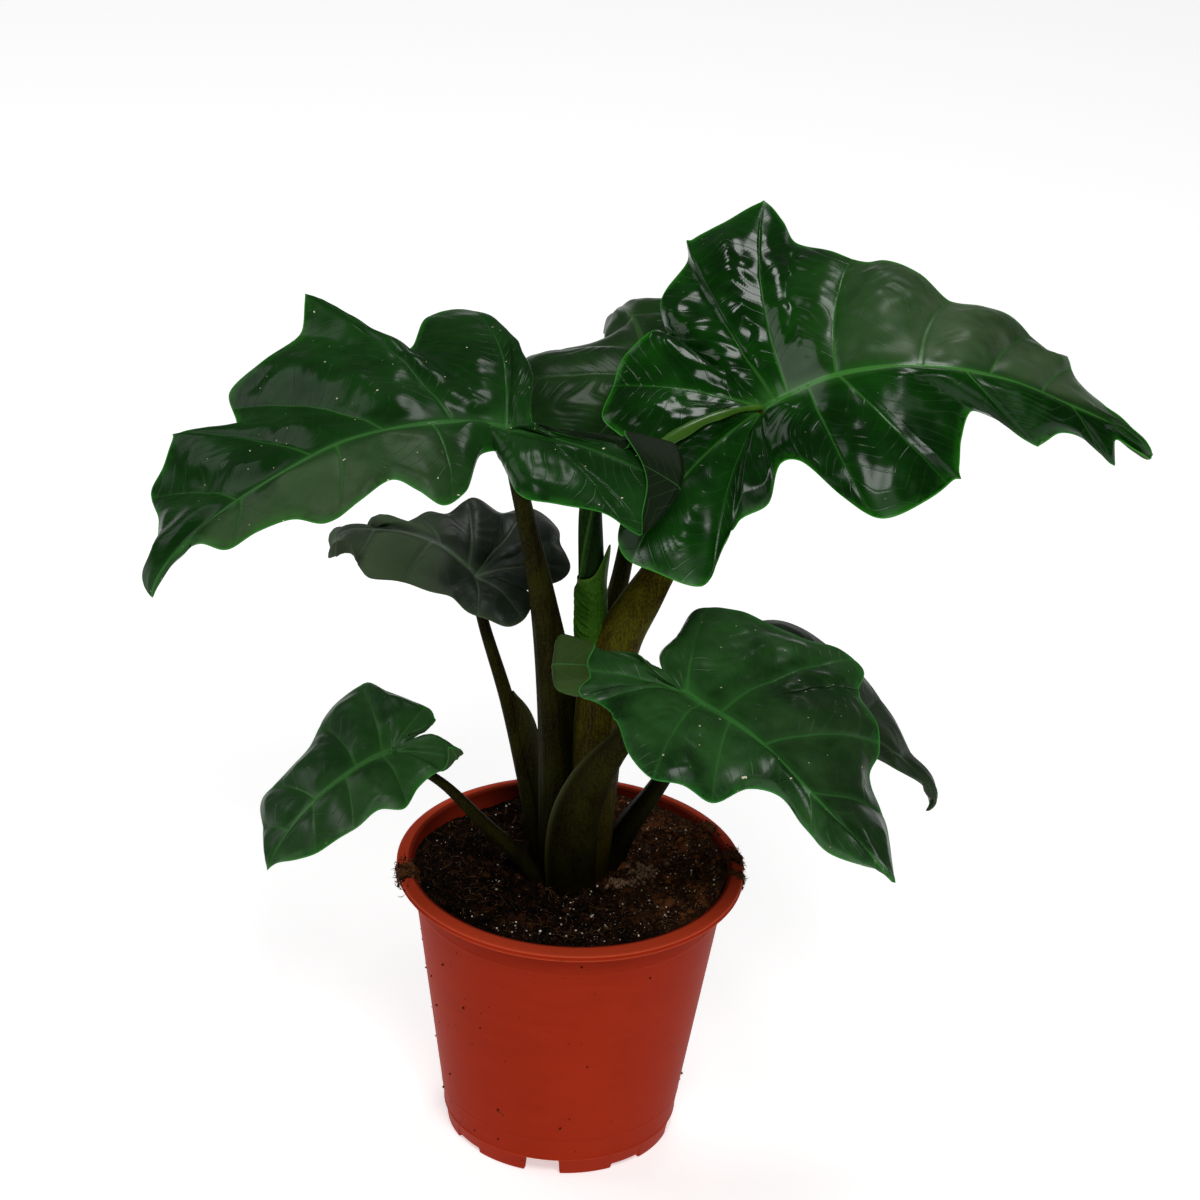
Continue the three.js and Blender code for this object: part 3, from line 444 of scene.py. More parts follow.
            [-98, -55, 2, 0, 4, 0.225], [-83, -75, -4, 0, 4, 0.22], [-67, -91, -10, 0, 5, 0.235],
            [-37, -56, -8, 0, 5, 0], [-27, -54, -6, 0, 5], [-10, -62, 0, 0.01, 5],
            [15, -74, -4, 0.03, 6], [41, -80, 0, 0.07, 6], [56, -68, 0, 0.12, 6],
            [76, -56, -5, 0.2, 5], [82, -27, -3, 0.3, 4], [99, -9, -6, 0.4, 4],
            [125, -12, -10, 0.52, 4], [149, -14, -11, 0.66, 3], [170, -4, -9, 0.82, 2],
            [183, 3, -7, 0.94, 0], [194, 0, -6, 1, 0],
        ],
    ),
    "low_right": dict(
        hub=[117, 40, 327], turn=[-2, 26, 4], bow=0.1, roll=1,
        quilt=0.07, pleat=0.2, pucker=(0.8, 0.8), crinkle=1.4, bloom=(0.2, 0.0), satin=0.0,
        ribs=dict(left=[4, 6, 7.6, 9], right=[2.4, 3.8, 6.2, 8]),
        spikes=dict(left=[], right=[]),
        midrib=[
            [0, 0, 0], [15, 0, 11], [40, 0, 15], [74, 0, 12], [106, 0, 8], [137, 0, -1],
            [155, 0, -12], [154, 0, -23],
        ],
        left=[
            [-7, -2, -1, 0, 1], [-21, 1, 0, 0, 2], [-35, 16, 0, 0, 3], [-23, 48, 2, 0, 4],
            [-2, 78, 6, 0.03, 4], [15, 74, 17, 0.1, 4], [53, 76, 14, 0.22, 3],
            [84, 65, 9, 0.38, 2], [105, 47, 6, 0.54, 1], [126, 21, 1, 0.7, 1],
            [146, 9, -6, 0.86, 0], [154, 0, -23, 1, 0],
        ],
        right=[
            [-7, -2, -1, 0, 1], [-17, -24, -2, 0, 2], [-21, -51, -5, 0, 3], [0, -59, -10, 0, 4],
            [22, -55, -4, 0.05, 4], [45, -28, -3, 0.15, 4], [72, -16, -2, 0.3, 3],
            [98, -8, 1, 0.48, 2], [117, -7, 0, 0.64, 1], [137, -3, -4, 0.8, 0],
            [161, 18, -25, 0.92, 0], [154, 0, -23, 1, 0],
        ],
    ),
}


def turned_axes(turn):
    """The along, across and lift directions of a blade from heading, droop and roll."""
    heading, droop, roll = np.radians(turn)
    forward = np.array([math.cos(heading) * math.cos(droop),
                        math.sin(heading) * math.cos(droop), -math.sin(droop)])
    level = np.array([-math.sin(heading), math.cos(heading), 0.0])
    left = level * math.cos(roll) + np.cross(forward, level) * math.sin(roll)
    return np.stack([forward, left, np.cross(forward, left)])


def stood(leaf, points):
    """A blade's own points turned and moved to where the blade stands."""
    return points @ turned_axes(leaf["turn"]) + np.array(leaf["hub"])


def midrib_curve(leaf):
    """The smooth curve through the midrib's rows."""
    rows = np.array(leaf["midrib"], dtype=float)
    return through(rows, knot_places(rows, MIDRIB_STEP))


def half_blade(leaf, side):
    """Half a blade as rows from the midrib to the margin. Each row is a quadratic curve
    through midrib point M, arched middle C and margin point E. The last `share` of a row
    is a flap, turned up by the leaf's roll angle within the first FOLD_SHARE of it and
    straight after that. A spike moves the margin outward by height * exp(-distance).
    Returns the points and what the ribs and the finish need."""
    rows = np.array([r + [0.0] * (6 - len(r)) for r in leaf[side]], dtype=float)
    ribs = np.array(leaf["ribs"][side], dtype=float)
    spikes = np.array(leaf["spikes"][side], dtype=float).reshape(-1, 2)
    close = (spikes[:, :1] + SPIKE_STEPS).ravel()
    places = knot_places(rows, MARGIN_STEP, np.concatenate([ribs, close[close > 0]]))
    stations = through(rows, places)
    margin, arch, share = stations[:, :3], stations[:, 4], stations[:, 5]
    root = np.maximum.accumulate(np.clip(stations[:, 3], 0.0, 1.0))
    root[-1] = 1.0
    start = at_share(midrib_curve(leaf), root)
    along = run_length(margin)
    outward = unit(margin - start)
    for place, height in spikes:
        off = np.abs(along - np.interp(place, places, along))
        margin = margin + outward * (height * np.exp(-off / SPIKE_REACH))[:, None]
    reach = np.linalg.norm(margin - start, axis=1)
    middle = (start + margin) / 2
    middle[:, 0] -= leaf["bow"] * reach * (1 - root**4)
    middle[:, 2] += 2 * arch
    v = ROW_SHARES[None, :, None]
    points = (start[:, None] * (1 - v)**2 + 2 * middle[:, None] * v * (1 - v)
              + margin[:, None] * v**2)
    flap = np.maximum(share, 0.004)[:, None]
    heading = unit((margin - middle) * (1 - flap) + (middle - start) * flap)
    up = unit(np.array([0.0, 0.0, 1.0]) - heading * heading[:, 2:3])
    angle = leaf["roll"] * np.maximum(smoothstep(share, 0.0, 0.05), 1e-3)[:, None]
    t = np.clip((ROW_SHARES[None] - 1 + flap) / flap, 0.0, 1.0)
    folded = np.minimum(t, FOLD_SHARE)
    turn = angle * folded / FOLD_SHARE
    out = FOLD_SHARE * np.sin(turn) / angle + (t - folded) * np.cos(angle) - t
    rise = FOLD_SHARE * (1 - np.cos(turn)) / angle + (t - folded) * np.sin(angle)
    length = (reach[:, None] * flap)[..., None]
    points = points + length * (out[..., None] * heading[:, None] + rise[..., None] * up[:, None])

    bounds = np.concatenate([[places[0]], ribs, [places[-1]]])
    bound_column = np.searchsorted(places, bounds)
    cell = np.clip(np.searchsorted(bounds, places, side="right") - 1, 0, len(bounds) - 2)
    to_first = np.linalg.norm(points - points[bound_column[cell]], axis=2)
    to_second = np.linalg.norm(points - points[bound_column[cell + 1]], axis=2)
    to_rib = np.minimum(to_first, to_second)
    to_rib[cell == 0] = to_second[cell == 0]
    to_rib[cell == len(bounds) - 2] = to_first[cell == len(bounds) - 2]
    width = to_first + to_second
    return dict(
        points=points, root=root, v=np.broadcast_to(ROW_SHARES, to_rib.shape), reach=reach,
        share=share, to_rib=to_rib, between=to_first / np.maximum(width, 1e-6), width=width,
    )


def vertex_normals(points, triangles):
    """Unit normals at the points, as sums of the triangles' area normals."""
    corner = points[triangles]
    normal = np.cross(corner[:, 1] - corner[:, 0], corner[:, 2] - corner[:, 0])
    total = np.zeros_like(points)
    for k in range(3):
        np.add.at(total, triangles[:, k], normal)
    return unit(total)


def blade_sheet(leaf):
    """The middle surface of a blade: both halves share the midrib points and the row
    that runs back to the notch. The strip beside the midrib is a fan of triangles to
    the midrib points that both halves' rows start from."""
    halves = [half_blade(leaf, side) for side in ("left", "right")]
    roots = np.unique(np.concatenate([half["root"] for half in halves]))
    tip = len(roots) - 1
    count = len(roots)
    points = [at_share(midrib_curve(leaf), roots)]
    zero = np.zeros(count)
    facts = {key: [zero] for key in ("between", "width", "v", "reach", "share", "left")}
    facts["to_rib"] = [zero + FAR_FROM_RIB]
    facts["root"] = [roots]
    quads, triangles, margins = [], [], []
    notch = None
    for half, flipped in zip(halves, (False, True)):
        columns = half["points"].shape[0] - 1
        rows = half["points"].shape[1] - 1
        first = 0 if notch is None else 1
        index = np.full((columns + 1, rows), tip)
        index[first:columns] = count + np.arange((columns - first) * rows).reshape(-1, rows)
        if notch is None:
            notch = index[0]
        index[0] = notch
        count += (columns - first) * rows
        points.append(half["points"][first:columns, 1:].reshape(-1, 3))
        for key in ("to_rib", "between", "width", "v"):
            facts[key].append(half[key][first:columns, 1:].ravel())
        for key in ("reach", "root", "share"):
            facts[key].append(np.repeat(half[key][first:columns], rows))
        facts["left"].append(np.full((columns - first) * rows, 0.0 if flipped else 1.0))
        block = index[:columns]
        quad = np.stack([block[:-1, :-1], block[1:, :-1], block[1:, 1:], block[:-1, 1:]], -1)
        quad = quad.reshape(-1, 4)
        last = np.stack([block[-1, :-1], np.full(rows - 1, tip), block[-1, 1:]], -1)
        start = np.searchsorted(roots, half["root"])
        fan = np.diff(start)
        column = np.repeat(np.arange(columns), fan)
        step = np.arange(fan.sum()) - np.repeat(np.cumsum(fan) - fan, fan)
        spoke = start[column] + step
        fans = np.stack([index[column, 0], spoke, spoke + 1], -1)
        joins = np.stack([index[:-1, 0], start[1:], index[1:, 0]], -1)
        flat = np.concatenate([last, fans, joins])
        same = flat == np.roll(flat, 1, axis=1)
        flat = flat[~same.any(axis=1)]
        quads.append(quad[:, ::-1] if flipped else quad)
        triangles.append(flat[:, ::-1] if flipped else flat)
        margins.append(index[:, -1] if not flipped else index[::-1, -1])
    facts = {key: np.concatenate(values) for key, values in facts.items()}
    return np.concatenate(points), np.concatenate(quads), np.concatenate(triangles), margins, facts


def relief(leaf, points, facts):
    """How far the points of a sheet move along their normals, and where the side veins
    run. Between the ribs the sheet bulges as width * sin(pi f), f being the share of the
    way from one rib to the next. It is pleated along the veins as cos(2 pi vein), and
    blisters and crinkles are smooth noise. Flaps stay calm, so that they don't fold into
    themselves, and all fades at the midrib and at the margin."""
    v, root = facts["v"], facts["root"]
    x, y = points[:, 0] + 400, points[:, 1] + 400
    bulge = np.sin(np.pi * facts["between"])
    fade = smoothstep(v, 0.02, 0.3) * (1 - 0.65 * smoothstep(v, 0.8, 1.0))
    stray = lumps(x, y, 26, 7) - 0.5
    vein = (v * facts["reach"] - 0.75 * facts["to_rib"]) / VEIN_GAP + 1.6 * stray
    near = 1 - 0.45 * smoothstep(root, 0.1, 0.6)
    patchy = smoothstep(lumps(x, y, 34, 8), 0.3, 0.7)
    pleat = leaf["pleat"] * near * patchy * np.cos(2 * np.pi * vein) * bulge**1.5
    blister = np.where(facts["left"] > 0.5, *leaf["pucker"]) * near
    pucker = blister * (lumps(x, y, 12, 9) - 0.5) * bulge
    calm = 1 - smoothstep(facts["share"], 0.0, 0.06) * smoothstep(v, 0.2, 0.5)
    fade = fade * calm
    pleat = (pleat * smoothstep(v, 0.1, 0.35) + pucker * smoothstep(v, 0.03, 0.15)) * calm
    pleat = pleat * (1 - smoothstep(v, 0.86, 1.0))
    swell = np.minimum(leaf["quilt"] * facts["width"], MOST_SWELL) * bulge * fade
    crinkle = leaf["crinkle"] * (lumps(x, y, 24, 5) + 0.4 * lumps(x, y, 11, 6) - 0.7)
    return swell + pleat + crinkle * fade, vein


def blade(name, leaf, finish):
    """A blade with two faces, half the thickness above and below its sheet. Above, the
    ribs lie in grooves, and below they stand out as ridges, both as bells exp(-d * d) of
    the distance d in rib widths."""
    points, quads, triangles, margins, facts = blade_sheet(leaf)
    split = np.concatenate([quads[:, [0, 1, 2]], quads[:, [0, 2, 3]], triangles])
    height, vein = relief(leaf, points, facts)
    points = points + vertex_normals(points, split) * height[:, None]
    normal = vertex_normals(points, split)

    v, root, to_rib, reach = facts["v"], facts["root"], facts["to_rib"], facts["reach"]
    left = facts["left"] > 0.5
    midrib_width = 2.4 * (1 - root) + 0.8
    to_midrib = v * reach
    on_midrib = np.exp(-(to_midrib / midrib_width)**2)
    rib_width = 1.5 * (1 - v) * (1 - 0.5 * root) + 0.45
    on_rib = np.exp(-(to_rib / rib_width)**2) * (1 - smoothstep(v, 0.8, 1.0))
    thin = THICKNESS / 2 * (1 - 0.6 * smoothstep(v, 0.95, 1.0))
    above = points + normal * (thin - 0.45 * on_rib + 0.35 * on_midrib)[:, None]
    depth = thin + on_midrib * (3.6 * (1 - root) + 0.4) + on_rib * 1.3 * (1 - 0.6 * v)
    below = points - normal * depth[:, None]

    total = len(points)
    faces = [*quads.tolist(), *triangles.tolist(),
             *(quads[:, ::-1] + total).tolist(), *(triangles[:, ::-1] + total).tolist()]
    for edge in margins:
        rim = np.stack([edge[:-1], edge[1:], edge[1:] + total, edge[:-1] + total], -1)
        faces.extend(rim.tolist())
    # Painted sheen: how much of each half gets a grey-green cast standing in for light, away from
    # the hub and the midrib.
    bloom = np.where(left, *leaf["bloom"]) * smoothstep(root, 0.12, 0.32)
    both = lambda values: np.concatenate([values, values])
    placed = stood(leaf, np.concatenate([above, below]))
    return new_piece(name, placed * MM, faces, finish, attributes={
        "rib": both(to_rib / rib_width),
        "midrib": both(to_midrib / midrib_width),
        "edge": both((1 - v) * reach),
        "vein": both(vein),
        "root": both(root),
        "out": both(v),
        "bloom": both(bloom * smoothstep(to_midrib, 0, 14)),
        "satin": both(leaf["satin"] * (1 - facts["left"])),
        "under": np.concatenate([np.zeros(total), np.ones(total)]),
    })


def seam_strip(name, leaf, finish, sides=20):
    """The folded margin over the closed notch of a blade: a flat oval swept along the row
    from the hub to the notch. Its half width grows from 1.5 to 5.7 mm, and its path rises
    over the blade by 4.5 mm * sin(pi share)."""
    row = half_blade(leaf, "left")["points"][0]
    share = np.linspace(0.03, 1.0, 90)
    line = at_share(row, share)
    tangent = unit(np.gradient(line, axis=0))
    across = unit(np.cross([0.0, 0.0, 1.0], tangent))
    lift = np.cross(tangent, across)
    wide = 1.5 + 4.2 * share + 0.5 * np.sin(share * 19)
    wide = wide[:, None] * smoothstep(1.02 - share, 0, 0.08)[:, None]
    high = (1.4 + 1.2 * share)[:, None]
    rise = (4.5 * np.sin(np.pi * share**0.8))[:, None]
    angle = np.arange(sides)[None] * 2 * np.pi / sides
    u = wide * np.cos(angle)
    h = rise + high * (0.9 + np.sin(angle)) - 0.12 * wide * np.cos(angle)**2
    points = line[:, None] + across[:, None] * u[..., None] + lift[:, None] * h[..., None]
    points = stood(leaf, points.reshape(-1, 3))
    zero = np.zeros(len(points))
    edge = np.tile(9 * np.abs(np.cos(angle[0] / 2 - 0.2)), len(line))
    return new_piece(name, points * MM, tube_faces(len(line), sides), finish, attributes={
        "rib": zero + FAR_FROM_RIB, "midrib": zero + FAR_FROM_RIB, "edge": edge,
        "vein": zero, "bloom": zero, "satin": zero, "root": zero + 0.5, "out": zero,
        "under": zero})


# The colour of the painted grey-green sheen.
PAINTED_SHEEN = (0.056, 0.102, 0.040)
SPECK = (0.8, 0.70, 0.52)


def leaf_finish(name, deep, fresh, rib, margin, under, gloss, shine, specks=0.1):
    """A leathery blade: deep green with fresher patches, paler ribs, a bright margin
    line, a faint net of side veins, a painted grey-green sheen that stands in for light,
    and a few pale specks. The underside is duller."""
    f = Finish(name, Specular_IOR_Level=shine)
    where = f.place()
    out, root, beneath = f.attribute("out"), f.attribute("root"), f.attribute("under")
    patch = f.ramp(f.noise(where, 14.0, 2.0), 0.35, 0.68)
    mottle = f.noise(where, 90.0, 5.0, 0.6)
    grain = f.noise(where, 500.0, 2.0)
    near_rib = 1 - f.ramp(f.attribute("rib"), 0.9, 5.0)
    rib_line = 1 - f.ramp(f.attribute("rib"), 0.35, 1.05)
    mid_line = 1 - f.ramp(f.attribute("midrib"), 0.55, 1.25)
    mid_glow = 1 - f.ramp(f.attribute("midrib"), 0.8, 4.0)
    hub_glow = 1 - f.ramp(root + out * 0.9, 0.02, 0.16)
    edge_line = 1 - f.ramp(f.attribute("edge"), 0.5, 1.3)
    edge_glow = (1 - f.ramp(f.attribute("edge"), 1.0, 7.0)) * f.ramp(mottle, 0.3, 0.6)
    wave = (f.attribute("vein") * (2 * math.pi)).sine()
    vein_line = f.ramp(wave, 0.90, 1.0) * f.ramp(out, 0.05, 0.25)
    colour = f.mix((patch * 0.7 + (mottle - 0.5) * 0.9).clamped(), deep, fresh)
    cloud = f.ramp(f.noise(where, 20.0, 4.0, 0.6), 0.36, 0.58)
    # Painted sheen: a grey-green cast mixed over the colour where the blade catches light.
    bloom = f.attribute("bloom") * (mottle * 0.3 + cloud * 0.55 + 0.35)
    colour = f.mix(bloom.clamped(), colour, PAINTED_SHEEN)
    colour = f.mix(vein_line * 0.05, colour, rib)
    colour = f.mix(near_rib * 0.30, colour, fresh)
    colour = f.mix(edge_glow * 0.30, colour, margin)
    colour = f.mix(rib_line * (0.60 - out * 0.40), colour, rib)
    colour = f.mix(mid_glow * 0.25, colour, rib)
    colour = f.mix(hub_glow * 0.45, colour, rib)
    colour = f.mix(mid_line * (0.9 - root * 0.4), colour, tuple(1.15 * c for c in rib))
    colour = f.mix(edge_line * 0.85, colour, margin)
    belly = f.mix(mottle, under, tuple(1.4 * c for c in under))
    belly = f.mix((rib_line + mid_line).clamped() * 0.6, belly, rib)
    belly = f.mix(vein_line * 0.12, belly, rib)
    belly = f.mix(edge_line * 0.8, belly, margin)
    speck = f.ramp(f.noise(where, 300.0, 1.0, 0.4), 0.79, 0.803) * (1 - beneath)
    colour = f.mix(speck * specks, colour, SPECK)
    dull = f.attribute("bloom") + f.attribute("satin")
    roughness = gloss + patch * 0.06 + beneath * 0.3 + speck * 0.3 + dull * 0.3
    height = vein_line * -0.5 + grain * 0.12 + mottle * 0.5
    f.feed(Base_Color=f.mix(beneath, colour, belly), Roughness=roughness,
           Normal=f.bump(height, 0.00018, 1.0))
    return f


# ---------------------------------------------------------------- petioles
# Rows are [x, y, z, radius, sheath], as in the CAD. `wing` is the side of the sheath.
STALKS = {
    "young_leaf": dict(wing=60, path=[
        [12, 2, 300, 6, 0], [10, 5, 340, 9, 0], [8, 4, 380, 9.2, 1.5], [6, 4, 426, 8.6, 1],
        [3, 6, 479, 7.6, 1], [3, 8, 510, 5, 0], [3, 8, 522, 1.5, 0]]),
    "petiole_right": dict(wing=170, path=[
        [11, -2, 168, 15, 0], [15, -2, 274, 15, 2], [19, -2, 337, 15, 5], [28, -4, 386, 13.5, 4],
        [41, -5, 418, 12.5, 2], [52, -3, 442, 11, 0], [84, 2, 507, 7.5, 0], [115, 8, 558, 5.5, 0]]),
    "petiole_left": dict(wing=10, path=[
        [-8, 4, 168, 15, 0], [-12, 5, 268, 12.5, 5], [-19, 5, 339, 9.5, 8], [-28, -3, 413, 7.6, 3],
        [-40, -14, 480, 6.3, 0], [-49, -21, 522, 5.4, 0], [-55, -26, 551, 4.2, 0]]),
    "petiole_back": dict(wing=200, path=[
        [11, 20, 168, 11, 0], [13, 30, 271, 9.5, 2], [17, 42, 360, 7.5, 0], [26, 55, 408, 6.2, 0],
        [35, 72, 476, 5, 0], [39, 85, 534, 4, 0]]),
    "petiole_front": dict(wing=200, path=[
        [6, -15, 168, 15, 2], [4, -24, 247, 14, 8], [14, -36, 294, 12, 7], [31, -48, 332, 8.5, 3],
        [56, -62, 366, 5, 0], [71, -69, 380, 4, 0]]),
    "petiole_mid_left": dict(wing=0, path=[
        [-12, 14, 168, 7.5, 2], [-24, 18, 215, 6.5, 5], [-35, 24, 264, 6, 3], [-49, 33, 315, 5, 0],
        [-67, 43, 368, 4, 0], [-75, 48, 399, 3.5, 0]]),
    "petiole_low_right": dict(wing=130, path=[
        [22, 9, 168, 9, 0], [35, 16, 218, 8, 3], [54, 24, 249, 6.5, 1.5], [82, 33, 293, 5, 0],
        [117, 40, 325, 4, 0]]),
    "petiole_low_left": dict(wing=60, path=[
        [-6, -12, 168, 7.5, 0], [-32, -15, 213, 5.5, 2], [-63, -11, 243, 4.6, 1],
        [-92, -7, 270, 3.4, 0], [-125, -5, 286, 3, 0]]),
}


def stalk(name, shape, finish, sides=72):
    """A leaf stalk: rings round a smooth path. The radius is the path's own, plus shallow
    flutes cos(11 a), plus the sheath times cos(a - wing) to the 14th on the wing side."""
    rows = np.array(shape["path"], dtype=float)
    line = through(rows, knot_places(rows, 3.0))
    spine, radius, sheath = line[:, :3], np.maximum(line[:, 3], 1.0), np.maximum(line[:, 4], 0.0)
    tangent = unit(np.gradient(spine, axis=0))
    side = unit(np.cross([0.0, 1.0, 0.0], tangent))
    front = np.cross(tangent, side)
    angle = np.arange(sides) * 2 * np.pi / sides
    away = np.maximum(np.cos(angle - math.radians(shape["wing"])), 0.0)
    flutes = 0.012 * np.cos(11 * angle) + 0.008 * np.cos(17 * angle + 1)
    reach = radius[:, None] * (1 + flutes) + sheath[:, None] * away**14
    rings = (spine[:, None] + side[:, None] * (reach * np.cos(angle))[..., None]
             + front[:, None] * (reach * np.sin(angle))[..., None])
    points = np.concatenate([rings.reshape(-1, 3), spine[:1], spine[-1:]])
    grown = np.repeat(np.minimum(sheath / 4, 1), sides)
    ridge = np.tile(away**160, len(line)) * grown
    fin = np.tile(away**14, len(line)) * grown * (1 - ridge)
    faces = tube_faces(len(line), sides, fans=True)
    return new_piece(name, points * MM, faces, finish, attributes={
        "fin": np.append(fin, [0, 0]), "edge": np.append(ridge, [0, 0]),
        "low": 1 - smoothstep(points[:, 2], 190, 325)})


def shell(name, grid, thickness, finish, edge, wrap=False):
    """A thin sheet from a grid of points: each point goes half the thickness along the
    normal to both sides, and the open borders are closed. `edge` marks the margin."""
    rows, columns = grid.shape[:2]
    down = np.gradient(grid, axis=0)
    over = (np.roll(grid, -1, 1) - np.roll(grid, 1, 1)) if wrap else np.gradient(grid, axis=1)
    normal = unit(np.cross(over, down))
    outer = (grid + normal * thickness / 2).reshape(-1, 3)
    inner = (grid - normal * thickness / 2).reshape(-1, 3)
    total = rows * columns
    front = np.array(grid_faces(rows, columns, wrap=wrap))
    index = np.arange(total).reshape(rows, columns)
    borders = [index[0], index[-1, ::-1]]
    if wrap:
        borders = [np.append(line, line[0]) for line in borders]
    else:
        borders += [index[:, -1], index[::-1, 0]]
    rims = [np.stack([b[1:], b[:-1], b[:-1] + total, b[1:] + total], -1) for b in borders]
    faces = np.concatenate([front, front[:, ::-1] + total, *rims])
    points = np.concatenate([outer, inner])
    return new_piece(name, points * MM, faces.tolist(), finish, attributes={
        "edge": np.tile(edge.ravel(), 2), "fin": np.zeros(2 * total),
        "low": 1 - smoothstep(points[:, 2], 190, 300)})


def stalk_finish(name, dark, light, edge, gloss=0.42, foot=0.72):
    """Fleshy stalk skin: olive and brown blotches, fine streaks along it, pale flecks,
    pale edges where a sheath ends, and a darker foot."""
    f = Finish(name, Specular_IOR_Level=0.025)
    blotch = f.noise(f.place((1.0, 1.0, 0.45)), 60.0, 4.0, 0.6)
    streak = f.noise(f.place((1.0, 1.0, 0.05)), 950.0, 4.0, 0.6)
    fine = f.noise(f.place((1.0, 1.0, 0.5)), 900.0, 4.0, 0.65)
    fleck = f.ramp(f.noise(f.place((1.0, 1.0, 0.3)), 1300.0, 2.0), 0.66, 0.74)
    low = f.attribute("low")
    tone = f.ramp(blotch * 0.4 + streak * 0.3 + fine * 0.45, 0.45, 0.70)
    dot = f.ramp(f.noise(f.place((1.0, 1.0, 0.6)), 1500.0, 3.0, 0.6), 0.55, 0.63)
    colour = f.mix(tone, dark, light)
    colour = f.mix(dot * 0.6, colour, tuple(0.5 * c for c in dark))
    colour = f.mix(fleck * 0.55, colour, tuple(2.4 * c for c in light))
    colour = f.mix(low * foot, colour, tuple(0.35 * c for c in dark))
    # On the rolled leaf, `fin` is painted shade beside the seam.
    colour = f.mix(f.attribute("fin") * 0.8, colour, tuple(0.35 * c for c in dark))
    colour = f.mix(f.attribute("edge") * 0.75, colour, edge)
    height = streak * 0.6 + fine * 0.4
    f.feed(Base_Color=colour, Roughness=gloss + blotch * 0.12,
           Normal=f.bump(height, 0.0005, 0.8))
    return f


def rolled_leaf(name, shape, finish, sides=96):
    """The unopened leaf: a leaf wound round itself. The radius grows by a tenth over each
    turn and steps back at the seam, which winds up the spear by 1.3 degrees per mm."""
    rows = np.array(shape["path"], dtype=float)
    line = through(rows, knot_places(rows, 2.0))
    spine, radius = line[:, None, :3], np.maximum(line[:, 3:4], 1.0)
    angle = np.arange(sides)[None] * 2 * np.pi / sides
    seam = np.radians(-118 + 1.3 * (spine[:, :, 2] - 440))
    turn = ((angle - seam) / (2 * np.pi)) % 1
    step = smoothstep(turn, 0.0, 0.93) * (1 - smoothstep(turn, 0.955, 1.0))
    reach = radius * (0.95 + 0.14 * step)
    points = spine + np.stack([reach * np.cos(angle), reach * np.sin(angle), 0 * reach], -1)
    points = np.concatenate([points.reshape(-1, 3), spine[0], spine[-1]])
    edge = np.exp(-((turn - 0.94) / 0.015)**2).ravel()
    # Painted shade: a darker strip just past the seam, in the recess beside the overlapping edge,
    # carried as "fin".
    dark = (1 - smoothstep(turn, 0.0, 0.25)).ravel()
    faces = tube_faces(len(line), sides, fans=True)
    return new_piece(name, points * MM, faces, finish, attributes={
        "edge": np.append(edge, [0, 0]), "fin": np.append(dark, [0, 0]),
        "low": np.zeros(len(points))})


BRACT_FOOT, BRACT_TOP = 335, 428


def bract(name, shape, finish, sides=120, rows=110):
    """The sheath round the unopened leaf: its radius follows the leaf's, and its top edge
    climbs to a point on the right by a cosine to the 9th, where it leans out. Pinched
    folds, waves of the height, cross its left side."""
    path = np.array(shape["path"], dtype=float)
    line = through(path, knot_places(path, 2.0))
    angle = np.arange(sides)[None] * 2 * np.pi / sides
    towards = 0.5 + 0.5 * np.cos(angle - math.radians(-20))
    top = BRACT_TOP + 8 * towards + 20 * towards**9
    share = np.linspace(0, 1, rows)[:, None]
    z = BRACT_FOOT + (top - BRACT_FOOT) * share
    centre = np.stack([np.interp(z, line[:, 2], line[:, k]) for k in (0, 1)], -1)
    radius = np.interp(z, line[:, 2], line[:, 3])
    left = np.maximum(np.cos(angle - math.radians(200)), 0.0)
    folds = np.sin((z - 1.08 * radius * np.sin(angle)) * 2 * np.pi / 5.4 + 1.8 * np.sin(0.31 * z))
    inside = smoothstep(z, 376, 386) * (1 - smoothstep(z, 418, 426))
    radius = radius + 0.9 + 2.4 * folds * left**1.6 * inside + 0.35 * folds * inside
    radius = radius + 3.6 * towards**9 * smoothstep(share, 0.75, 1.0) + 0.5 * share**12
    grid = np.stack([centre[..., 0] + radius * np.cos(angle),
                     centre[..., 1] + radius * np.sin(angle), z], -1)
    edge = smoothstep(share, 0.97, 1.0) + 0 * angle
    return shell(name, grid, 0.7, finish, edge, wrap=True)


def hood(name, attached, free, depth, finish, rows=90, columns=24):
    """An opened sheath: straight lines from the attached edge to the free one, pushed back
    by depth * sin(pi u) between them."""
    share = np.linspace(0, 1, rows)
    one = at_share(through(attached, knot_places(attached, 2.0)), share)[:, None]
    two = at_share(through(free, knot_places(free, 2.0)), share)[:, None]
    across = np.linspace(0, 1, columns)[None, :, None]
    grid = one * (1 - across) + two * across + np.array(depth) * np.sin(np.pi * across)
    edge = smoothstep(across[..., 0], 0.93, 1.0) + 0 * share[:, None]
    return shell(name, grid, 1.0, finish, edge)


# ---------------------------------------------------------------- pot
RIM_RADIUS, RIM_TOP, RIM_BAND = 120.0, 206.5, 7.0
BODY_TOP_RADIUS, BASE_RADIUS, WALL = 110.0, 79.0, 2.0
FLOOR_TOP, FLOOR_UNDERSIDE, PAD_RADIUS = 15.0, 12.5, 25.0
NOTCHES, NOTCH_WIDTH, NOTCH_HEIGHTS, FIRST_NOTCH = 8, 24.0, (11.4, 3.0), -97.0
FOOT_POINTS = slice(5, 9)


def wall_radius(z):
    """The wall's outer radius, which grows evenly from the foot to the rim."""
    return BASE_RADIUS + (BODY_TOP_RADIUS - BASE_RADIUS) * z / RIM_TOP


def arc(centre, radius, first, last, steps=6):
    """Points of a rounded corner in the profile, angles in degrees."""
    angle = np.radians(np.linspace(first, last, steps))
    return np.stack([centre[0] + radius * np.cos(angle), centre[1] + radius * np.sin(angle)], -1)


